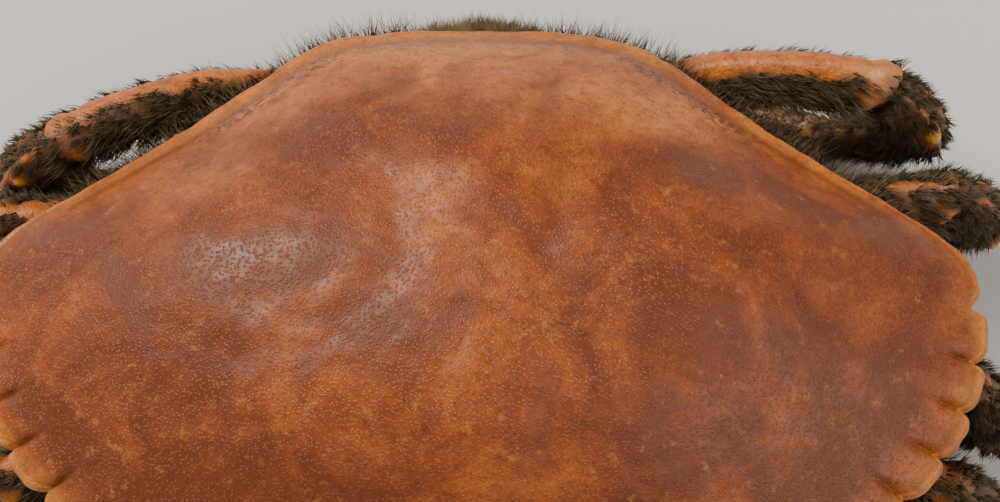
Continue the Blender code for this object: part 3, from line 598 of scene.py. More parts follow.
class Tree:
    """One material's nodes, made by short calls. Sizes of patterns are in millimetres."""

    def __init__(self, name):
        self.material = bpy.data.materials.new(name)
        self.material.use_nodes = True
        self.tree = self.material.node_tree
        self.shader = self.tree.nodes["Principled BSDF"]
        self.place = self.tree.nodes.new("ShaderNodeTexCoord").outputs["Object"]

    def put(self, socket, value):
        """Links a node's output, or sets a number or a colour."""
        if isinstance(value, bpy.types.NodeSocket):
            self.tree.links.new(value, socket)
        else:
            socket.default_value = (*value, 1) if isinstance(value, tuple) else value

    def add(self, kind, sockets, **settings):
        node = self.tree.nodes.new("ShaderNode" + kind)
        for key, value in settings.items():
            setattr(node, key, value)
        for key, value in sockets.items():
            self.put(node.inputs[key], value)
        return node

    def noise(self, size, detail=3, roughness=0.55, distortion=0.0):
        sockets = {"Vector": self.place, "Scale": 1 / (size * MM), "Detail": detail,
                   "Roughness": roughness, "Distortion": distortion}
        return self.add("TexNoise", sockets).outputs["Fac"]

    def cells(self, size):
        """The distance from the middles of cells of the given size."""
        return self.add("TexVoronoi", {"Vector": self.place, "Scale": 1 / (size * MM)}).outputs["Distance"]

    def mask(self, name):
        return self.add("Attribute", {}, attribute_name=name).outputs["Fac"]

    def spread(self, value, low, high, first=0.0, last=1.0, **settings):
        """The range from low to high, spread over the one from first to last."""
        sockets = {"Value": value, "From Min": low, "From Max": high, "To Min": first, "To Max": last}
        return self.add("MapRange", sockets, **settings).outputs["Result"]

    def maths(self, operation, first, second):
        return self.add("Math", {0: first, 1: second}, operation=operation).outputs[0]

    def plus(self, first, second):
        return self.maths("ADD", first, second)

    def times(self, first, second):
        return self.maths("MULTIPLY", first, second)

    def mix(self, share, first, second):
        return self.add("Mix", {0: share, 6: first, 7: second}, data_type="RGBA").outputs[2]

    def tint(self, colour, share, pattern, other):
        """The colour with another over it, by a share of a pattern."""
        return self.mix(self.times(pattern, share), colour, other)

    def mottle(self, colour, *clouds):
        """The colour with clouds of others over it. Each is a share, a colour, the range of the noise
        in which the cloud thickens, and what the noise takes."""
        for share, other, low, high, *settings in clouds:
            colour = self.tint(colour, share, self.spread(self.noise(*settings), low, high), other)
        return colour

    def ramp(self, value, *stops):
        node = self.add("ValToRGB", {"Fac": value})
        elements = node.color_ramp.elements
        while len(elements) < len(stops):
            elements.new(1)
        for element, (place, colour) in zip(elements, stops):
            element.position = place
            element.color = (*colour, 1)
        return node.outputs["Color"]

    def bump(self, height, depth):
        sockets = {"Height": height, "Distance": depth * MM, "Strength": 1.0}
        return self.add("Bump", sockets).outputs["Normal"]

    def finish(self, colour, roughness, **sockets):
        """The material. Other sockets of the shader are named with _ for a space."""
        self.put(self.shader.inputs["Base Color"], colour)
        self.put(self.shader.inputs["Roughness"], roughness)
        for key, value in sockets.items():
            self.put(self.shader.inputs[key.replace("_", " ")], value)
        return self.material


def grain(tree, size, depth):
    """Fine round granules with tiny pits between them: their bump, the granules and the pits."""
    granules = tree.spread(tree.cells(size), 0.1, 0.5, 1, 0, interpolation_type="SMOOTHSTEP")
    solid = tree.spread(tree.cells(size * 2.7), 0.03, 0.085)
    height = tree.plus(granules, tree.times(tree.noise(size * 0.4, 2), 0.45))
    height = tree.plus(height, tree.times(solid, 0.7))
    return tree.bump(height, depth), granules, tree.spread(solid, 0, 1, 1, 0)


def veins(tree, size, width):
    """A net of thin wavering lines."""
    away = tree.maths("ABSOLUTE", tree.maths("SUBTRACT", tree.noise(size, 4, 0.62, 0.9), 0.5), 0)
    return tree.spread(away, 0, width, 1, 0)


def dots(tree, size, width, cloud, low, high):
    """Small dots that come in clouds."""
    near = tree.spread(tree.cells(size), 0.05, width, 1, 0)
    return tree.times(near, tree.spread(tree.noise(cloud), low, high))


def shell_material():
    """The back: orange-brown with darker clouds and stipples, fine granules and a paler rim."""
    tree = Tree("carapace_shell")
    normal, granules, pits = grain(tree, 0.52, 0.08)
    # Where this mask is low, at the sides, the shell turns brick-brown: partly its colour, partly painted
    # shade.
    field = tree.plus(tree.noise(17, 5, 0.62, 0.5), tree.spread(tree.mask("warmth_and_side_shade"), 0, 1, -0.15, 0.14))
    colour = tree.ramp(field, (0.34, BRICK), (0.46, RUST), (0.57, COPPER), (0.68, ORANGE))
    colour = tree.mottle(colour, (0.55, BRICK, 0.48, 0.68, 5.5, 6, 0.72, 0.7),
                         (0.5, BRICK, 0.5, 0.64, 1.7, 5, 0.75))
    colour = tree.tint(colour, 0.22, veins(tree, 5.0, 0.035), BRICK)
    colour = tree.mottle(colour, (0.6, UMBER, 0.55, 0.66, 0.6, 3, 0.7),
                         (0.45, AMBER, 0.57, 0.72, 2.6, 6, 0.78))
    colour = tree.tint(colour, 0.35, dots(tree, 2.4, 0.13, 7, 0.5, 0.62), AMBER)
    colour = tree.tint(colour, 0.12, granules, AMBER)
    colour = tree.tint(colour, 0.7, pits, UMBER)
    # Painted shade: sepia darkens the furrows, the notches and the line inside the rear rim.
    colour = tree.tint(colour, 0.6, tree.mask("groove"), SEPIA)
    specks = tree.times(tree.mask("speck"), tree.spread(tree.noise(1.7, 3, 0.6, 0.8), 0.5, 0.55))
    colour = tree.tint(colour, 0.8, specks, UMBER)
    edge = tree.times(tree.mask("edge"), tree.spread(tree.noise(3, 4), 0.35, 0.62, 0.25, 1))
    colour = tree.tint(colour, 0.48, edge, AMBER)
    colour = tree.mix(tree.mask("under"), colour, BUFF)
    roughness = tree.spread(tree.noise(2.4, 4), 0.35, 0.7, 0.28, 0.5)
    return tree.finish(colour, roughness, Normal=normal, Specular_IOR_Level=0.4)


def limb_colour(tree, top, deep, granules, pits):
    """Warm above with fine dark and light spots, and pale on the folded side."""
    pale = tree.mask("pale")
    field = tree.plus(tree.noise(8, 5, 0.66, 0.6), tree.times(pale, 0.08))
    colour = tree.ramp(field, (0.34, deep), (0.5, top), (0.7, ORANGE))
    colour = tree.mottle(colour, (0.6, BRICK, 0.48, 0.66, 2.6, 5, 0.72, 0.6))
    net = tree.times(veins(tree, 3.6, 0.05), tree.spread(pale, 0, 0.7, 1, 0.15))
    colour = tree.tint(colour, 0.4, net, BRICK)
    colour = tree.mottle(colour, (0.5, UMBER, 0.55, 0.67, 0.8, 3, 0.7))
    colour = tree.tint(colour, 0.5, dots(tree, 2.1, 0.14, 6, 0.48, 0.6), AMBER)
    colour = tree.tint(colour, 0.14, granules, AMBER)
    colour = tree.tint(colour, 0.6, pits, UMBER)
    patches = tree.times(pale, tree.spread(tree.noise(3.2, 5, 0.7), 0.36, 0.6, 0.3, 1))
    return tree.tint(colour, 0.8, patches, BUFF)


def limb_material(name, top, deep, grain_size):
    """Legs and claws, with olive skin under thick hair, membranes, yellow hinges and dark fingertips."""
    tree = Tree(name)
    normal, granules, pits = grain(tree, grain_size, 0.07)
    colour = limb_colour(tree, top, deep, granules, pits)
    hairy = tree.times(tree.mask("hairy"), tree.spread(tree.noise(1.5, 4), 0.3, 0.6, 0.7, 1))
    colour = tree.mix(hairy, colour, OLIVE)
    film = tree.ramp(tree.noise(1.2, 4), (0.35, MEMBRANE[0]), (0.7, MEMBRANE[1]))
    colour = tree.mix(tree.mask("membrane"), colour, film)
    colour = tree.mix(tree.mask("knob"), colour, GOLD)
    border = tree.plus(tree.mask("dark"), tree.spread(tree.noise(1.4, 4), 0.3, 0.7, -0.12, 0.12))
    dark = tree.spread(border, 0.42, 0.58)
    colour = tree.mix(dark, colour, tree.ramp(tree.noise(2.2, 4), (0.35, SOOT), (0.75, SMOKE)))
    rough = tree.maths("SUBTRACT", tree.noise(1.8, 4), tree.times(dark, 0.3))
    return tree.finish(colour, tree.spread(rough, 0.1, 0.7, 0.24, 0.54), Normal=normal)


def under_material():
    """The underside: cream, clouded with orange-brown that thickens towards the sides and grooves, with
    painted shade in the grooves.
    """
    tree = Tree("underside_shell")
    normal, granules, pits = grain(tree, 0.8, 0.055)
    colour = tree.ramp(tree.noise(9, 5, 0.6, 0.4), (0.35, BUFF), (0.5, SAND), (0.65, CREAM))
    stain = tree.plus(tree.mask("stain"), tree.spread(tree.noise(4, 6, 0.7, 0.5), 0.3, 0.7, -0.4, 0.4))
    brown = tree.ramp(tree.noise(2.5, 5, 0.7), (0.4, RUST), (0.6, COPPER))
    colour = tree.tint(colour, 0.85, tree.spread(stain, 0.3, 1.0), brown)
    colour = tree.mottle(colour, (0.3, RUST, 0.5, 0.66, 1.5, 5, 0.75),
                         (0.3, BRICK, 0.56, 0.68, 0.6, 3, 0.7))
    # Painted shade: bark brown darkens the grooves and seams.
    colour = tree.tint(colour, 0.75, tree.mask("groove"), BARK)
    colour = tree.tint(colour, 0.45, pits, BRICK)
    colour = tree.tint(colour, 0.16, granules, CREAM)
    return tree.finish(colour, tree.spread(tree.noise(2.4, 4), 0.35, 0.7, 0.36, 0.6), Normal=normal)


def eye_material():
    """Black and glossy, on a stalk of the shell's colours."""
    tree = Tree("eye_surface")
    normal = tree.bump(tree.cells(0.14), 0.01)
    glossy = tree.ramp(tree.noise(1.2, 2), (0.4, EYE_BLACK[0]), (0.7, EYE_BLACK[1]))
    horn = tree.ramp(tree.noise(1.5, 4), (0.4, RUST), (0.65, AMBER))
    colour = tree.mix(tree.mask("stalk"), glossy, horn)
    roughness = tree.spread(tree.mask("stalk"), 0, 1, 0.1, 0.45)
    return tree.finish(colour, roughness, Normal=normal, Coat_Weight=0.5, Coat_Roughness=0.06)


def hair_material(name, dark, middle, light):
    """Horny bristles that differ a little in tone and are lighter at their tips."""
    tree = Tree(name)
    tone = tree.plus(tree.mask("tone"), tree.spread(tree.noise(3, 3), 0.3, 0.7, -0.25, 0.25))
    colour = tree.ramp(tone, (0.15, dark), (0.6, middle), (1, light))
    tip = tuple(1.35 * part for part in light)
    colour = tree.tint(colour, 0.45, tree.spread(tree.mask("tip"), 0.3, 1), tip)
    roughness = tree.spread(tree.mask("tone"), 0, 1, 0.38, 0.58)
    return tree.finish(colour, roughness, Specular_IOR_Level=0.4)


def front_edge():
    """The front between the first lobes: x, y, reach beyond the plain outline, notch and lobe."""
    across = np.linspace(0, FRONT_TEETH[-1][0], FRONT_STEPS + 1)[:-1]
    curve = -FRONT_REACH * (1 - (across / HALF_WIDTH) ** FRONT_POWER) ** (1 / FRONT_POWER)
    return np.column_stack([across, curve, profile(FRONT_TEETH, across), 0 * across, 0 * across])


def side_edge():
    """The lobed side, in the same columns. Notch is 1 in the notches between the lobes."""
    start = math.asin((FRONT_TEETH[-1][0] / HALF_WIDTH) ** (FRONT_POWER / 2))
    share = np.arange(EDGE_LOBES * LOBE_STEPS) / (EDGE_LOBES * LOBE_STEPS)
    turn = start + (math.pi / 2 - start) * share
    notch = np.abs(2 * ((share * EDGE_LOBES) % 1) - 1) ** LOBE_SQUARENESS
    return np.column_stack([HALF_WIDTH * np.sin(turn) ** (2 / FRONT_POWER),
                            -FRONT_REACH * np.cos(turn) ** (2 / FRONT_POWER),
                            LOBE_REACH - LOBE_DEPTH * notch, notch, 0 * share + 1])


def rear_edge():
    """The plain rear, in the same columns."""
    rear = catmull(REAR_OUTLINE, REAR_STEPS)
    reach = (LOBE_REACH - LOBE_DEPTH) * (1 - rise(0, 3, np.linalg.norm(rear - rear[0], axis=-1)))
    return np.column_stack([rear, reach, 0 * reach, 0 * reach])


def half_outline():
    return np.concatenate([front_edge(), side_edge(), rear_edge()])


def outline_at(turn):
    """The plain outline in a direction, 0 at the front."""
    x, y = half_outline()[:, :2].T
    target = np.arctan2(np.abs(np.sin(turn)), np.cos(turn))
    across, along = (np.interp(target, np.arctan2(x, -y), values) for values in (x, y))
    return np.stack([np.copysign(across, np.sin(turn)), along], axis=-1)


def edge_height(points):
    along = points[..., 1] / np.maximum(np.linalg.norm(points[..., :2], axis=-1), 1e-6)
    end = np.where(along < 0, FRONT_EDGE, REAR_EDGE)
    return SIDE_EDGE + (end - SIDE_EDGE) * along ** 2


def furrow_depth(x, y):
    """How deep the furrows are at each place, in millimetres."""
    spot = np.stack([np.abs(x), y], axis=-1)
    total = np.zeros(x.shape)
    for furrow in FURROWS:
        path = catmull(furrow.points, 6 * len(furrow.points))
        nearest = np.full(x.shape, 1e9)
        for start, end in zip(path, path[1:]):
            span = end - start
            share = np.clip((spot - start) @ span / max(span @ span, 1e-6), 0, 1)
            nearest = np.minimum(nearest, np.linalg.norm(spot - start - span * share[..., None], axis=-1))
        total = np.maximum(total, furrow.depth * bell(nearest, furrow.width))
    return total


def dome_height(x, y, share, edge):
    """Height of the dome and its swellings, which end in a flat flange."""
    dome = edge + (TOP - edge) * (1 - share ** DOME_POWER)
    swell = sum(s.height * bell(np.hypot(np.abs(x) - s.x, y - s.y), s.radius) for s in SWELLINGS)
    return softly_higher(dome, edge + FLANGE * (1 - share), 1.0) + swell * (1 - share ** 6)


# Places on the carapace's top: level points, share of the outline, distance from the edge, the
# outline's notches and lobes, and where the plain rear margin is.
Top = namedtuple("Top", "level share from_edge notch lobed rear")


def top_relief(top):
    """Lumps, furrows, the raised rear margin and the frill of lobes, and a mask of the grooves, used to
    paint shade into them.
    """
    level, edge = top.level, top.from_edge
    furrow = furrow_depth(level[..., 0], level[..., 1]) * (0.75 + 0.45 * noise(level, 9, 6))
    inner = 1 - rise(0.9, 0.99, top.share)
    lumps = layers(level, (0.34, 12, 2), (0.2, 6.5, 3), (0.1, 3.1, 4))
    margin = top.rear * (0.3 * bell(edge - 1.1, 1.1) - 0.36 * bell(edge - 3.2, 1.3))
    frill = 0.5 * bell(edge - 3.2, 2.4) * (1 - top.notch) - 0.9 * top.notch ** 2 * bell(edge - 2.0, 3.6)
    beads = 0.12 * noise(level, 1.5, 5)
    relief = (lumps - furrow) * inner + margin + top.lobed * frill + beads * (1 - 0.5 * inner)
    # This mask is for painted shade, darkening the furrows, the line inside the rear rim and the lobes'
    # notches.
    groove = furrow * 1.3 + top.rear * bell(edge - 3.6, 1.5) + top.lobed * top.notch * bell(edge - 1, 4)
    return relief, np.clip(groove, 0, 1) * inner ** 0.2


def rim_rings(plain, outward, reach, edge):
    """The rings that turn over the edge and run in under the shell."""
    lift = 0.9 * (1 + np.minimum(reach, 0) / LOBE_DEPTH) - 0.3
    rings = []
    for share, height, kept in RIM_ROWS:
        hold = min(1, max(0, (share - 0.94) / 0.04))
        place = plain * share + outward * (reach * hold)[:, None]
        rings.append(np.column_stack([place, edge + height + kept * lift]))
    return np.array(rings)


def over_rim(mask, value):
    """A mask of the top, carried on over the rim with the given value."""
    return np.concatenate([mask, np.zeros((len(RIM_ROWS), mask.shape[1])) + value])


def top_masks(top, groove):
    """Where the carapace is pale at its edge, darkened in its grooves as painted shade, turned under,
    orange, and specked; browner sides are partly painted shade.
    """
    x, y = np.abs(top.level[..., 0]), top.level[..., 1]
    paleness = 0.3 + 0.4 * top.lobed
    # Orange at the rear, the rim and the middle; low at the sides, whose browner colour is partly painted
    # shade.
    warmth_and_side_shade = rise(12, 38, y + 5 * noise(top.level, 15, 7)) * rise(72, 45, x)
    warmth_and_side_shade = warmth_and_side_shade + rise(9, 3, top.from_edge) * 0.5 + 0.45 * bell(np.hypot(x, y + 8), 34)
    speck = top.rear * bell(top.from_edge - 5.5, 2.0) * rise(18, 28, x) * rise(52, 40, x)
    past = np.arange(len(TOP_SHARES) + len(RIM_ROWS))[:, None] - len(TOP_SHARES)
    return {"edge": over_rim(rise(4.2, 1.6, top.from_edge) * paleness, paleness),
            "groove": over_rim(groove, 0), "under": rise(2, 7, past),
            "warmth_and_side_shade": over_rim(np.clip(warmth_and_side_shade, 0, 1), 1), "speck": over_rim(speck, 0)}


def carapace():
    """The dorsal shield from its middle over the rim to its underside."""
    half = half_outline()
    around = np.concatenate([half, half[1:-1][::-1] * (-1, 1, 1, 1, 1)])
    plain = around[:, :2]
    reach, notch, lobed = around[:, 2:].T
    outward = unit(plain)
    reach = reach + 0.25 * noise(np.column_stack([plain, 0 * reach]), 6, 11)
    share = TOP_SHARES[:, None]
    follow = np.maximum(0, (share - 0.88) / 0.12) ** 1.5
    flat = plain * share[..., None] + outward * (reach * follow)[..., None]
    x, y = flat[..., 0], flat[..., 1]
    from_edge = (1 - share) * np.linalg.norm(plain, axis=-1)
    top = Top(np.dstack([flat, x * 0]), share, from_edge, notch, lobed, rise(8, 24, y) * (1 - lobed))
    relief, groove = top_relief(top)
    edge = edge_height(plain)
    height = dome_height(x, y, share, edge) + relief
    grid = np.concatenate([np.dstack([flat, height]), rim_rings(plain, outward, reach, edge)])
    trim = 0.12 * noise(grid, 1.7, 8)
    trim[:-ROUGH_ROWS] = 0
    return Skin().add(raise_grid(grid, trim), **top_masks(top, groove))


def oval(shape, turn):
    reach = np.where(np.cos(turn) > 0, shape.front, shape.rear)
    return np.stack([shape.half_width * np.sin(turn), -reach * np.cos(turn)], axis=-1)


def body_rings(turn):
    """The underside's rings, from under the rim down to the middle of the breastplate."""
    edge = outline_at(turn)
    height = edge_height(edge)
    under, leg_line, belly = (oval(shape, turn) for shape in (UNDER_EDGE, LEG_LINE, BELLY_EDGE))
    folded = UNDER_EDGE.height + (height - SIDE_EDGE) * 0.6
    rings = [(edge * 0.945, height - RIM - 0.3), (edge * 0.925, height - RIM - 1.6),
             (edge * 0.925 * 0.45 + under * 0.55, height * 0.35 + folded * 0.65 - 1.2), (under, folded),
             (leg_line, LEG_LINE.height), (belly, BELLY), (belly * 0.5, BELLY), (belly * 0.05, BELLY)]
    return np.array([np.column_stack([flat, z + 0 * turn]) for flat, z in rings])


def mouth_frame(x, y, z):
    """The raised frame round the mouth, the plate over it, and the hollows of the inner feelers."""
    sides = bell(x - 13.4, 1.0) * rise(10, 14, z) * rise(35.5, 33.5, z)
    top = bell(z - 34.3, 0.9) * rise(14.6, 13, x)
    plate = 0.7 * bell(z - 36.4, 0.9) * rise(8.5, 6.5, x)
    septum = bell(x, 0.8) * rise(34.5, 36, z)
    hollow = bell(np.hypot(x - 3.6, z - 38.4), 2.0)
    floor = rise(12.6, 11.6, x) * rise(33.6, 32.6, z)
    beads = np.maximum(0, noise(np.stack([x, y, z], axis=-1), 1.3, 25)) * rise(13, 16, x) * rise(14, 20, z)
    relief = np.maximum(sides, top) + plate + 0.8 * septum - 1.2 * hollow - 0.5 * floor + 0.35 * beads
    side_groove = bell(x - 12.1, 0.5) * rise(10, 14, z) * rise(34, 33, z)
    top_groove = bell(z - 33.2, 0.5) * rise(12, 11, x)
    plate_groove = 0.6 * bell(z - 35.4, 0.4) * rise(9, 7, x)
    front = rise(-22, -28, y)
    return relief * front, np.maximum(np.maximum(side_groove, top_groove), plate_groove) * front


def body_relief(grid, row, turn):
    """Lumps, the breastplate's grooves, the wall's seam, the legs' sockets and the mouth, and a mask of the
    grooves for painted shade.
    """
    x, y, z = np.moveaxis(grid, -1, 0)
    x = np.abs(x)
    relief = layers(grid, (0.22, 6, 21), (0.1, 2.2, 22)) - 0.4 * bell(row - 0.55, 0.1)
    groove = 0.8 * bell(row - 2.15 - 0.12 * np.sin(3 * turn), 0.07) * rise(20, 40, x)
    for line in BELLY_GROOVES:
        groove = np.maximum(groove, bell(y - line - 0.12 * (x - 20), 0.9) * rise(2.8, 4.0, row))
    for root in [CLAW_ROOT] + [one.root for one in LEFT_LEGS.values()]:
        away = np.sqrt((x - root[0] - 1) ** 2 + (y - root[1]) ** 2 + (z - root[2] + 1) ** 2)
        relief += 0.8 * bell(away - 8.2, 1.2)
        groove = np.maximum(groove, 0.8 * bell(away - 6.6, 1.0))
    mouth_relief, mouth_groove = mouth_frame(x, y, z)
    groove = np.maximum(groove, mouth_groove)
    return (relief + mouth_relief - 0.7 * groove) * rise(0.05, 0.3, row), groove


def body():
    """The underside: side walls, sockets of the legs, and the breastplate with its grooves."""
    turn = full_turn(BODY_SIDES)
    rings = body_rings(turn)
    table = np.column_stack([np.arange(len(rings)), rings.reshape(len(rings), -1)])
    grid = profile(table, BODY_ROWS).reshape(len(BODY_ROWS), BODY_SIDES, 3)
    row = BODY_ROWS[:, None]
    relief, groove = body_relief(grid, row, turn)
    grid = raise_grid(grid, relief)
    stain = np.clip(rise(3.4, 1.2, row) * 0.85 + 0.25 * noise(grid, 12, 24), 0, 1)
    return grid, Skin().add(grid, groove=np.clip(groove, 0, 1), stain=stain)


def body_hair(grid, looks):
    """Down on the side walls above the legs and behind, and the fringe that stands out under the rim."""
    x, y, _ = np.moveaxis(grid, -1, 0)
    row = BODY_ROWS[:, None]
    down = bell(row - 2.75, 0.3) * rise(-30, -18, y) + 0.7 * bell(row - 2.0, 0.8) * rise(34, 42, y)
    fringe = bell(row - 0.7, 0.3) * rise(12, 20, y) * rise(7, 14, np.abs(x))
    coat = Coat(27)
    coat.grow(grid, down, BODY_DOWN, (0.02, 0.02, 0.95, 0.6))
    coat.grow(grid[::-1], fringe[::-1], FRINGE, (0.02, 0.64, 0.95, 0.34), rising=FRINGE_RISE)
    coat.piece("body_hair", looks["down"])


def heading_at(segment, share):
    """A segment's direction at a share of its length, and the side that is up there."""
    share = np.asarray(share, float)[..., None]
    turned = 1 - np.maximum(1 - share, 0) ** segment.ease
    azimuth, pitch = (np.radians(first + (last - first) * way) for (first, last), way in
                      ((segment.azimuth, turned), (segment.pitch, share)))
    level = np.concatenate([np.cos(azimuth), np.sin(azimuth), azimuth * 0], axis=-1)
    return level * np.cos(pitch) + UP * np.sin(pitch), UP * np.cos(pitch) - level * np.sin(pitch)


def arc(start, segment, shares):
    """Points, directions and up vectors at each share of the way along a segment."""
    moves = heading_at(segment, (np.arange(ARC_STEPS) + 0.5) / ARC_STEPS)[0] * (segment.length / ARC_STEPS)
    path = np.vstack([np.zeros(3), np.cumsum(moves, axis=0)]) + np.asarray(start, float)
    place = np.clip(shares, 0, 1) * ARC_STEPS
    points = np.column_stack([np.interp(place, np.arange(ARC_STEPS + 1), axis) for axis in path.T])
    return points, *heading_at(segment, shares)


def end_of(start, segment):
    return arc(start, segment, np.array([1.0]))[0][0]


def meet(grid, offset, direction, share, segment, before, after):
    """Leans a tube's end rings into the planes in which it meets its neighbours."""
    reach = min(0.45, 10 / segment.length)
    joints = [(before, segment, share)] if before else []
    joints += [(segment, after, 1 - share)] if after else []
    for first, second, near in joints:
        plane = unit(heading_at(first, 1.0)[0] + heading_at(second, 0.0)[0])
        weight = np.clip(1 - near / reach, 0, 1) ** 1.5
        slide = -(offset @ plane) / (direction @ plane)[:, None]
        grid = grid + direction[:, None] * (slide * weight[:, None])[..., None]
    return grid


class Tube(namedtuple("Tube", "grid turn share membrane middle direction up")):
    """A grid of rings, with each point's turn and share along, its film of skin, and the axis there."""

    def off(self, degrees):
        """How far round each point is from the given turn, in degrees, from 0 to 180."""
        return np.abs((np.degrees(self.turn) - degrees + 180) % 360 - 180)


def tube(start, segment, size, shares, ring, before=None, after=None, neck=NECK, cup=CUP, inset=0.0):
    """A segment as a grid of rings. Size has lift, half height and half width at each share."""
    push, scale, film = np.array([*neck, *[(0, 1, 0)] * len(shares), *cup], float).T
    place = np.clip(np.arange(len(push)) - len(neck), 0, len(shares) - 1)
    share = shares[place]
    lift, high, wide = size[place].T
    points, direction, up = arc(start, segment, share)
    side = np.cross(direction, up)
    turn = full_turn(ring.sides)
    across, above = (np.sign(wave) * np.abs(wave) ** (2 / ring.power)
                     for wave in (np.cos(turn), np.sin(turn)))
    wide, high = (wide - inset) * scale, (high - inset) * scale
    offset = (side[:, None] * (across * wide[:, None])[..., None]
              + up[:, None] * (lift[:, None] + above * high[:, None])[..., None])
    grid = points[:, None] + direction[:, None] * push[:, None, None] + offset
    grid = meet(grid, offset, direction, share, segment, before, after)
    return Tube(grid, turn[None], *(row[:, None] for row in (share, film, points, direction, up)))


def plain_tube(start, segment, shape, rows, ring, **ends):
    """A tube whose half heights and half widths are shares of its segment's own, or one share for both."""
    shares = np.linspace(0, 1, rows)
    sizes = profile(shape, shares)
    size = np.column_stack([0 * shares, sizes[:, 0] * segment.height, sizes[:, -1] * segment.width])
    return tube(start, segment, size, shares, ring, **ends)


def drop_to(node, made):
    """How far a tube's middle height is from its solid's, in millimetres."""
    low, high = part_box(node)
    height = made.grid[len(NECK):-len(CUP), :, 2]
    return (low[2] + high[2]) / 2 / MM - (height.min() + height.max()) / 2


def settle(grid, drop):
    """Moves a grid up or down, but never through the floor."""
    grid[..., 2] = np.maximum(grid[..., 2] + drop, 0.0)
    return grid


def merus_form(made, crest, ragged, one):
    """Relief of a leg's upper part, and its hair, which leaves the crest and the pale end bare."""
    share, turn = made.share, np.degrees(made.turn)
    ridge = np.maximum(0, noise(made.grid, 1.1, 35)) * bell(crest, 26) * rise(0.3, 0.4, share)
    relief = 0.45 * bell(crest, 16) + 0.4 * ridge - 0.35 * bell(share - 0.285, 0.01)
    relief -= 0.3 * bell(made.off(0) - 8, 14) + 0.25 * bell(made.off(180) - 8, 14)
    relief += 0.3 * bell(share - 0.97, 0.014) - 0.45 * bell(share - 0.93, 0.012) * rise(80, 60, crest)
    front, back = one.bare
    line = np.where((turn > 90) & (turn < 270), back, front) - 14 * rise(0.88, 0.99, share)
    hairy = rise(line, line + 18, crest + ragged) * rise(0.16, 0.3, share)
    hairy *= 1 - 0.6 * rise(125, 150, crest)
    clear = min(1, 1.7 * one.patch) * bell(share - 0.945, 0.045)
    return relief, hairy * (1 - 0.9 * clear * rise(back + 8, back - 18, crest + ragged))


def carpus_form(made, crest, ragged, one):
    """Relief of a leg's second part, and its hair beside the ridge."""
    relief = 0.5 * bell(crest - 22, 12) - 0.3 * bell(crest, 12) - 0.3 * bell(crest - 60, 12)
    hairy = rise(8, 24, np.abs(crest - 22) + ragged + 14) * rise(0.0, 0.12, made.share + 0.01)
    return relief, np.maximum(hairy, rise(0.25, 0.1, made.share))


def shank_form(made, crest, ragged, one):
    """Relief of a leg's last two parts, and their hair, which is thickest in rows."""
    relief = 0.32 * bell(crest - 24, 11) - 0.3 * bell(crest, 12)
    relief += 0.3 * bell(crest - 92, 14) - 0.4 * bell(crest - 62, 12)
    rows = np.maximum(bell(crest - 62, 15), bell(crest - 4, 9))
    hairy = np.clip(rows + 0.8 * rise(100, 125, crest), 0, 1) * rise(0.02, 0.1, made.share)
    return relief, np.maximum(hairy, 0.5)


LEG_FORMS = [merus_form, carpus_form, shank_form, shank_form]


def leg_relief(place, made, one):
    """Ridges, grooves and lumps of a leg's segment, and how hairy each place is."""
    ragged = layers(made.grid, (14, 4.2, 31), (9, 1.5, 32))
    form, hairy = LEG_FORMS[place](made, made.off(90), ragged, one)
    relief = layers(made.grid, (0.2, 3.2, 33), (0.14, 1.3, 34)) + form
    if LEG_PARTS[place] == "dactyl":
        relief *= 1 - rise(0.6, 1, made.share)
        hairy = hairy * (1 - rise(0.72, 0.86, made.share))
    shell = 1 - made.membrane
    return relief * shell, np.clip(hairy, 0, 1) * shell


def from_hinge(place, made, one):
    """How far each point is from the segment's hinge, as a share of the hinge's reach."""
    hinges = [MERUS_HINGE, one.hinge]
    if place >= len(hinges):
        return np.full(made.grid.shape[:2], np.inf)
    share, turn = hinges[place]
    along = (made.share - share) * one.segments[place].length / HINGE_LENGTH
    return np.hypot(along, made.off(turn) / HINGE_TURN)


def leg_paleness(place, made, patch):
    """Pale below, at the root and at the end of the upper part."""
    crest = made.off(90)
    pale = rise(105, 150, crest) * 0.8
    if LEG_PARTS[place] == "merus":
        front = rise(66, 44, made.off(46))
        pale = pale + 1.3 * patch * rise(0.85, 0.92, made.share) * (0.25 + 0.75 * front)
        pale = pale + 0.8 * rise(0.3, 0.22, made.share) * rise(60, 120, crest)
    return np.clip(pale, 0, 1)


def leg_tubes(one):
    """The plain tubes of a leg's four segments."""
    start = np.array(one.root, float)
    near = [None, *one.segments, None]
    tubes = []
    for before, segment, after, shape, rows in zip(near, one.segments, near[2:], LEG_SHAPES, LEG_ROWS):
        tubes.append(plain_tube(start, segment, shape, rows, LEG_RING, before=before, after=after,
                                cup=CUP if after else TIP, inset=SKIN_DEPTH))
        start = end_of(start, segment)
    return tubes


def leg_hair(coat, number, place, made, grid, hairy):
    """Hair on one segment, longer in front on its long parts, and most so on the last legs."""
    growth = LEG_HAIR[place]
    if number > 3 and place == 0:
        growth = growth._replace(count=REAR_MERUS_TUFTS)
    longer = (0.9 if number == 5 else 0.6) * (LEG_PARTS[place] in ("merus", "propodus"))
    stretch = 1 + longer * bell(made.off(10), 50)
    tile = (0.02 + 0.5 * (place % 2), 0.02 + 0.5 * (place // 2), 0.44, 0.44)
    coat.grow(grid, hairy ** 1.5 * (grid[..., 2] > 0.2), growth, tile, stretch)


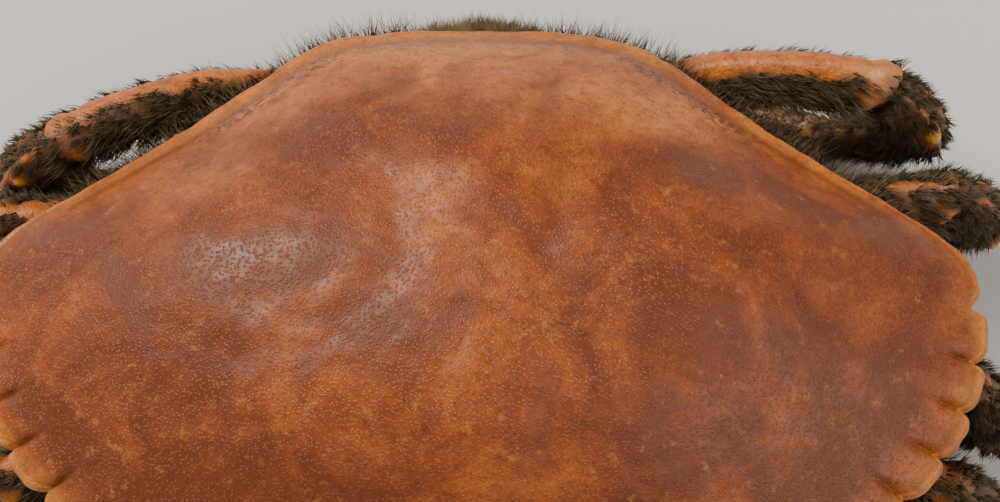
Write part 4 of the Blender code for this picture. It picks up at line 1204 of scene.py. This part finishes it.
def leg_pieces(side, number, one, looks):
    """The four segments of one walking leg, and the hair on all of them."""
    tubes = leg_tubes(one)
    drop = drop_to(f"leg{number}_{side}_carpus", tubes[1])
    coat = Coat(100 * number + SIDES[side])
    for place, (part, made) in enumerate(zip(LEG_PARTS, tubes)):
        relief, hairy = leg_relief(place, made, one)
        grid = settle(raise_grid(made.grid, relief), drop)
        away = from_hinge(place, made, one)
        knob = bell(away, 1)
        grid = raise_grid(grid, HINGE_HEIGHT * knob)
        hairy = hairy * rise(1.2, 2.2, away)
        gold = 0.9 if number == 5 and part == "carpus" else 0.25
        pale = leg_paleness(place, made, one.patch)
        dark = rise(0.72, 0.9, made.share) * (part == "dactyl")
        skin = Skin().add(grid, membrane=made.membrane, hairy=hairy, pale=pale, dark=dark,
                          knob=gold * rise(0.3, 0.6, knob))
        skin.piece(f"leg{number}_{side}_{part}", looks["leg"], SIDES[side])
        leg_hair(coat, number, place, made, grid, hairy)
    coat.piece(f"leg{number}_{side}_hair", looks["hair"], SIDES[side])


def hand_tube(start):
    """The palm, which ends in a wall above and runs on below as the fixed finger.

    The wall has a hollow for the root of the movable finger.
    """
    palm, fixed = (tube(start, HAND, profile(shape, HAND_SHARES), HAND_SHARES, CLAW_RING, WRIST, cup=TIP)
                   for shape in (PALM_SHAPE, FIXED_SHAPE))
    height = ((palm.grid - palm.middle) * palm.up).sum(axis=-1)
    fall = rise(PALM_END - 0.016, STEP_END, palm.share) ** 3
    ceiling = PALM_CLEAR - (PALM_CLEAR - LEDGE) * fall + FILLET * bell(palm.share - STEP_END, 0.035)
    cut = softly_higher(height - ceiling, 0, 3.0)
    blend = rise(STEP_END, BLEND_END, palm.share)[..., None]
    grid = (palm.grid - palm.up * cut[..., None]) * (1 - blend) + fixed.grid * blend
    root = arc(start, HAND, np.array([WALL]))[0][0] + palm.up[0] * FINGER_SHAPE[0][1]
    near = rise(6.6, 4.6, np.linalg.norm(grid - root, axis=-1))
    hollow = 1.8 * bell(palm.share - WALL, 0.006) * near
    return palm._replace(grid=grid - palm.direction * hollow[..., None])


def finger_share(share):
    return (share - FINGER_START) / (FINGER_END - FINGER_START)


def claw_tubes():
    """The plain tubes of a claw's arm, wrist, hand and movable finger."""
    wrist_start = end_of(CLAW_ROOT, ARM)
    hand_start = end_of(wrist_start, WRIST)
    shares = np.linspace(FINGER_START, FINGER_END, FINGER_ROWS)
    return {
        "arm": plain_tube(CLAW_ROOT, ARM, ARM_SHAPE, ARM_ROWS, CLAW_RING, after=WRIST, neck=ARM_NECK),
        "wrist": plain_tube(wrist_start, WRIST, WRIST_SHAPE, WRIST_ROWS, CLAW_RING, before=ARM, after=HAND),
        "hand": hand_tube(hand_start),
        "finger": tube(hand_start, HAND, profile(FINGER_SHAPE, finger_share(shares)), shares, CLAW_RING,
                       neck=FINGER_NECK, cup=TIP),
    }


def teeth(along, turn, side):
    """Blunt teeth on the edge where one finger meets the other."""
    wave = np.abs(np.sin(math.pi * TEETH * np.clip(along, 0, 1))) ** 0.8
    height = TOOTH_HEIGHT * wave * np.clip((1 - along) * 3, 0, 1) * (along > 0) * (along < 1)
    return height * np.maximum(0, side * np.sin(turn)) ** 5


def claw_form(part, made):
    """Ridges, teeth and grooves of a claw's part, and how dark each place is."""
    turn, along = made.turn, made.share
    if part == "hand":
        fixed = (along - STEP_END) / (1 - STEP_END)
        ridges = sum(0.3 * bell(made.off(ridge), 8) for ridge in (28, 62, 152))
        ridges = ridges * rise(0.1, 0.25, along) * rise(0.56, 0.45, along)
        return teeth(fixed, turn, 1) - 0.3 * bell(along - 0.04, 0.012) + ridges, rise(0.2, 0.42, fixed)
    if part == "finger":
        along = finger_share(along)
        grooves = sum(0.28 * bell(made.off(groove), 9) for groove in (35, 90, 145))
        grooves = grooves * rise(0.05, 0.2, along) * rise(0.95, 0.8, along)
        return teeth(along, turn, -1) - grooves, rise(0.06, 0.3, along)
    crest = 0.5 * bell(made.off(75), 12) * rise(0.3, 0.5, along) * rise(0.95, 0.85, along)
    spine = 1.8 * bell(made.off(18), 15) * bell(along - 0.74, 0.12) * (part == "wrist")
    return crest + spine - 0.45 * bell(along - 0.93, 0.02), 0


def claw_pieces(side, looks):
    """The four parts of one claw."""
    tubes = claw_tubes()
    drop = drop_to(f"claw_{side}_wrist", tubes["wrist"])
    for part, made in tubes.items():
        form, dark = claw_form(part, made)
        relief = layers(made.grid, (0.22, 5, 41), (0.14, 2.1, 42), (0.3, 11, 43)) + form
        grid = settle(raise_grid(made.grid, relief * (1 - made.membrane)), drop)
        pale = rise(-0.1, -0.75, grid_normals(grid)[..., 2])
        skin = Skin().add(grid, membrane=made.membrane, hairy=0, pale=pale, dark=dark, knob=0)
        look = looks["finger" if part == "finger" else "claw"]
        skin.piece(f"claw_{side}_{part}", look, SIDES[side])


def flap_shape():
    """The flap's plates, each thinner where it starts."""
    shape = []
    for low, high in zip(FLAP_PLATE_ENDS, FLAP_PLATE_ENDS[1:]):
        for part, height in ((0.0, 0.72), (0.12, 1.0), (0.92, 1.0)):
            along = low + (high - low) * part
            shape.append((along, height, profile(TAIL_FLAP_WIDTHS, along)[0, 0]))
    return [*shape, (1, 0.5, TAIL_FLAP_WIDTHS[-1][1])]


def tail_piece(name, made, ends, bulge, looks):
    """One part of the tail, with grooves where its plates meet. Bulge is 1 for the domed part behind."""
    x, share = made.grid[..., 0], made.share
    outer = rise(75, 25, made.off(270))
    groove = sum(bell(share - end - 0.012, 0.01) for end in ends[:-1]) + 0 * x
    hind = bulge * sum(bell(share - ridge, 0.05) for ridge in REAR_RIDGES)
    dome = 0.8 * hind + 1.2 * bulge * np.clip(1 - (x / TAIL_REAR.width) ** 2, 0, 1)
    relief = layers(made.grid, (0.2, 5, 51), (0.08, 1.6, 52)) + 0.5 * bell(x, 5.5) - 0.55 * groove
    relief = relief - (0.3 + 0.4 * bulge) * bell(np.abs(x) - TAIL_SIDE_LINE, 1.6) + outer * dome
    grid = raise_grid(made.grid, relief * (1 - made.membrane))
    waist = sum(bell(share - end, 0.35 / (len(ends) - 1) ** 1.2) for end in ends)
    grid[..., 0] *= 1 - (0.07 + 0.05 * bulge) * waist
    if not bulge:
        grid[..., 2] = np.minimum(grid[..., 2], BELLY - 0.3)
    sides = rise(0.55, 1, np.abs(x) / np.abs(x).max())
    stain = 0.3 + 0.35 * hind + 0.35 * sides + bulge * (0.75 - 0.35 * share)
    # The grooves and the side lines get painted shade in the material.
    lines = groove + 0.5 * bulge * bell(np.abs(x) - TAIL_SIDE_LINE, 1.3)
    skin = Skin().add(grid, groove=np.clip(lines, 0, 1), stain=stain)
    skin.piece(name, looks["under"])
    return grid


def tail_edges(made):
    """Where the fringe along a part's edges grows."""
    edge = np.maximum(bell(made.off(0), 14), bell(made.off(180), 14))
    return edge * (1 - made.membrane)


def tail_pieces(looks):
    """The two plates behind the body, the flap under it, and the hair along their edges and seams."""
    rear = plain_tube(TAIL_ROOT, TAIL_REAR, TAIL_REAR_SHAPE, TAIL_REAR_ROWS, TAIL_RING, after=TAIL_FLAP)
    flap = plain_tube(end_of(TAIL_ROOT, TAIL_REAR), TAIL_FLAP, flap_shape(), TAIL_FLAP_ROWS, TAIL_RING,
                      before=TAIL_REAR)
    coat = Coat(7)
    grid = tail_piece("tail_rear", rear, REAR_PLATE_ENDS, 1, looks)
    outer = rise(75, 25, rear.off(270))
    seams = bell(rear.share - 0.475, 0.012) + bell(rear.share - 0.97, 0.012)
    coat.grow(grid, tail_edges(rear), TAIL_EDGE_HAIR, (0.02, 0.02, 0.44, 0.44))
    coat.grow(grid, outer * bell(rear.share - 0.07, 0.08), TAIL_TOP_HAIR, (0.02, 0.52, 0.2, 0.44))
    coat.grow(grid, outer * seams, TAIL_SEAM_HAIR, (0.26, 0.52, 0.2, 0.44))
    grid = tail_piece("tail_flap", flap, FLAP_PLATE_ENDS, 0, looks)
    coat.grow(grid, tail_edges(flap), TAIL_EDGE_HAIR._replace(count=FLAP_TUFTS), (0.52, 0.02, 0.44, 0.9))
    coat.piece("tail_hair", looks["down"])


def eye_piece(side, looks):
    """An eye on its short stalk."""
    share = np.linspace(0, 1, EYE_STEPS)[:, None]
    turn = full_turn(EYE_STEPS)[:, None]
    axis = unit(np.array(EYE_AXIS))
    first = unit(np.cross(axis, UP))
    second = np.cross(first, axis)
    base = np.array(EYE) - axis * EYE_BACK
    radius = profile(EYE_SHAPE, share[:, 0])[..., None]
    ring = first * np.cos(turn) + second * np.sin(turn)
    grid = base + axis * share[..., None] * EYE_LENGTH + ring * radius
    stalk = rise(0.5, 0.42, share + 0.06 * np.sin(turn.T))
    grid = raise_grid(grid, 0.1 * noise(grid, 1.3, 61) * stalk)
    Skin().add(grid, stalk=stalk).piece(f"eye_{side}", looks["eye"], SIDES[side], "ball")


def feeler_piece(name, side, looks):
    """A feeler with a stout jointed base and a ringed lash."""
    feeler = FEELERS[name]
    made = plain_tube(feeler.root, feeler.segment, feeler.shape, FEELER_ROWS, FEELER_RING, neck=[], cup=TIP)
    rings = 0.05 * np.cos(2 * math.pi * feeler.rings * made.share) * rise(0.36, 0.42, made.share)
    grid = raise_grid(made.grid, 0.06 * noise(made.grid, 0.9, 62) + rings)
    skin = Skin().add(grid, membrane=0, hairy=0.3 * rise(0.3, 0.5, made.share), pale=0.2, dark=0, knob=0)
    skin.piece(f"{name}_{side}", looks["feeler"], SIDES[side])


def mouth_pieces(side, looks):
    """A plate over the mouth with its palp, its rod and the hair along its inner edge."""
    ends = {"neck": TIP, "cup": TIP}
    plate = plain_tube(MOUTH_ROOT, MOUTH_PLATE, MOUTH_SHAPE, MOUTH_ROWS, MOUTH_RING, **ends)
    palp = plain_tube(PALP_ROOT, PALP, PALP_SHAPE, PALP_ROWS, PALP_RING, **ends)
    rod = plain_tube(ROD_ROOT, ROD, ROD_SHAPE, ROD_ROWS, ROD_RING, **ends)
    outer = rise(70, 30, plate.off(270))
    x = plate.grid[..., 0] - MOUTH_ROOT[0]
    channel = 0.5 * outer * bell(x - 0.8, 0.8) * rise(0.42, 0.5, plate.share)
    grid = raise_grid(plate.grid, 0.12 * noise(plate.grid, 2.4, 63) - channel)
    # This mask paints shade into the plate's grooves.
    groove = np.clip(bell(plate.share - 0.4, 0.02) + outer * bell(x - 0.8, 0.9) * 0.6, 0, 1)
    stain = 0.45 + 0.3 * bell(plate.share - 0.4, 0.14) + 0.25 * rise(0.12, 0, plate.share)
    skin = Skin().add(grid, groove=groove, stain=stain)
    skin.add(palp.grid, groove=bell(palp.share - 0.37, 0.025) + bell(palp.share - 0.7, 0.02), stain=0.8)
    skin.add(raise_grid(rod.grid, 0.1 * noise(rod.grid, 2, 64)), groove=0, stain=0.75)
    skin.piece(f"mouth_plate_{side}", looks["under"], SIDES[side])
    inner = bell(plate.off(MOUTH_INNER_TURN), 16) * (1 - plate.membrane)
    coat = Coat(17)
    coat.grow(grid, inner, MOUTH_HAIR, (0.05, 0.05, 0.5, 0.5))
    coat.piece(f"mouth_{side}_hair", looks["down"], SIDES[side])


def stage():
    """The plain pale floor."""
    mesh = bpy.data.meshes.new("floor")
    corners = [(x * FLOOR_REACH, y * FLOOR_REACH, 0) for x, y in ((-1, -1), (1, -1), (1, 1), (-1, 1))]
    mesh.from_pydata(corners, [], [(0, 1, 2, 3)])
    tree = Tree("floor_surface")
    colour = tree.ramp(tree.noise(60, 3), (0.3, FLOOR[0]), (0.7, FLOOR[1]))
    mesh.materials.append(tree.finish(colour, 0.8))
    floor = bpy.data.objects.new("floor", mesh)
    bpy.context.scene.collection.objects.link(floor)


def lights():
    """Two soft lamps and an even light from all sides."""
    for name, (place, size, power, colour) in LAMPS.items():
        data = bpy.data.lights.new(name, "AREA")
        data.size = size
        data.energy = power
        data.color = colour
        item = bpy.data.objects.new(name, data)
        item.location = place
        item.rotation_euler = (LAMP_TARGET - item.location).to_track_quat("-Z", "Y").to_euler()
        bpy.context.scene.collection.objects.link(item)
    world = bpy.data.worlds.new("studio")
    world.use_nodes = True
    background = world.node_tree.nodes["Background"]
    background.inputs[0].default_value = WORLD
    background.inputs[1].default_value = WORLD_STRENGTH
    bpy.context.scene.world = world


def camera():
    data = bpy.data.cameras.new("camera")
    data.lens = LENS
    item = bpy.data.objects.new("camera", data)
    back = Vector((0, -math.cos(math.radians(ELEVATION)), math.sin(math.radians(ELEVATION))))
    turn = (-back).to_track_quat("-Z", "Y").to_matrix().to_4x4()
    item.matrix_world = (Matrix.Translation(TARGET + back * DISTANCE) @ turn
                         @ Matrix.Rotation(math.radians(ROLL), 4, "Z"))
    bpy.context.scene.collection.objects.link(item)
    bpy.context.scene.camera = item


def make_looks():
    """Each look's material and slot."""
    shell = shell_material()
    leg = limb_material("leg_surface", ORANGE, COPPER, 0.6)
    claw = limb_material("claw_surface", COPPER, RUST, 0.8)
    return {"shell": (shell, "shell"), "leg": (leg, "leg_shell"), "feeler": (leg, "claw_shell"),
            "claw": (claw, "claw_shell"), "finger": (claw, "finger_shell"),
            "under": (under_material(), "underside"), "eye": (eye_material(), "eye"),
            "hair": (hair_material("bristles", *BRISTLES), "leg_shell"),
            "down": (hair_material("down", *DOWN), "underside")}


def build():
    looks = make_looks()
    carapace().piece("carapace", looks["shell"])
    grid, skin = body()
    skin.piece("body", looks["under"])
    body_hair(grid, looks)
    tail_pieces(looks)
    for side, legs in LEGS.items():
        for number, one in legs.items():
            leg_pieces(side, number, one, looks)
        claw_pieces(side, looks)
        eye_piece(side, looks)
        for name in FEELERS:
            feeler_piece(name, side, looks)
        mouth_pieces(side, looks)
    stage()
    lights()
    camera()


build()
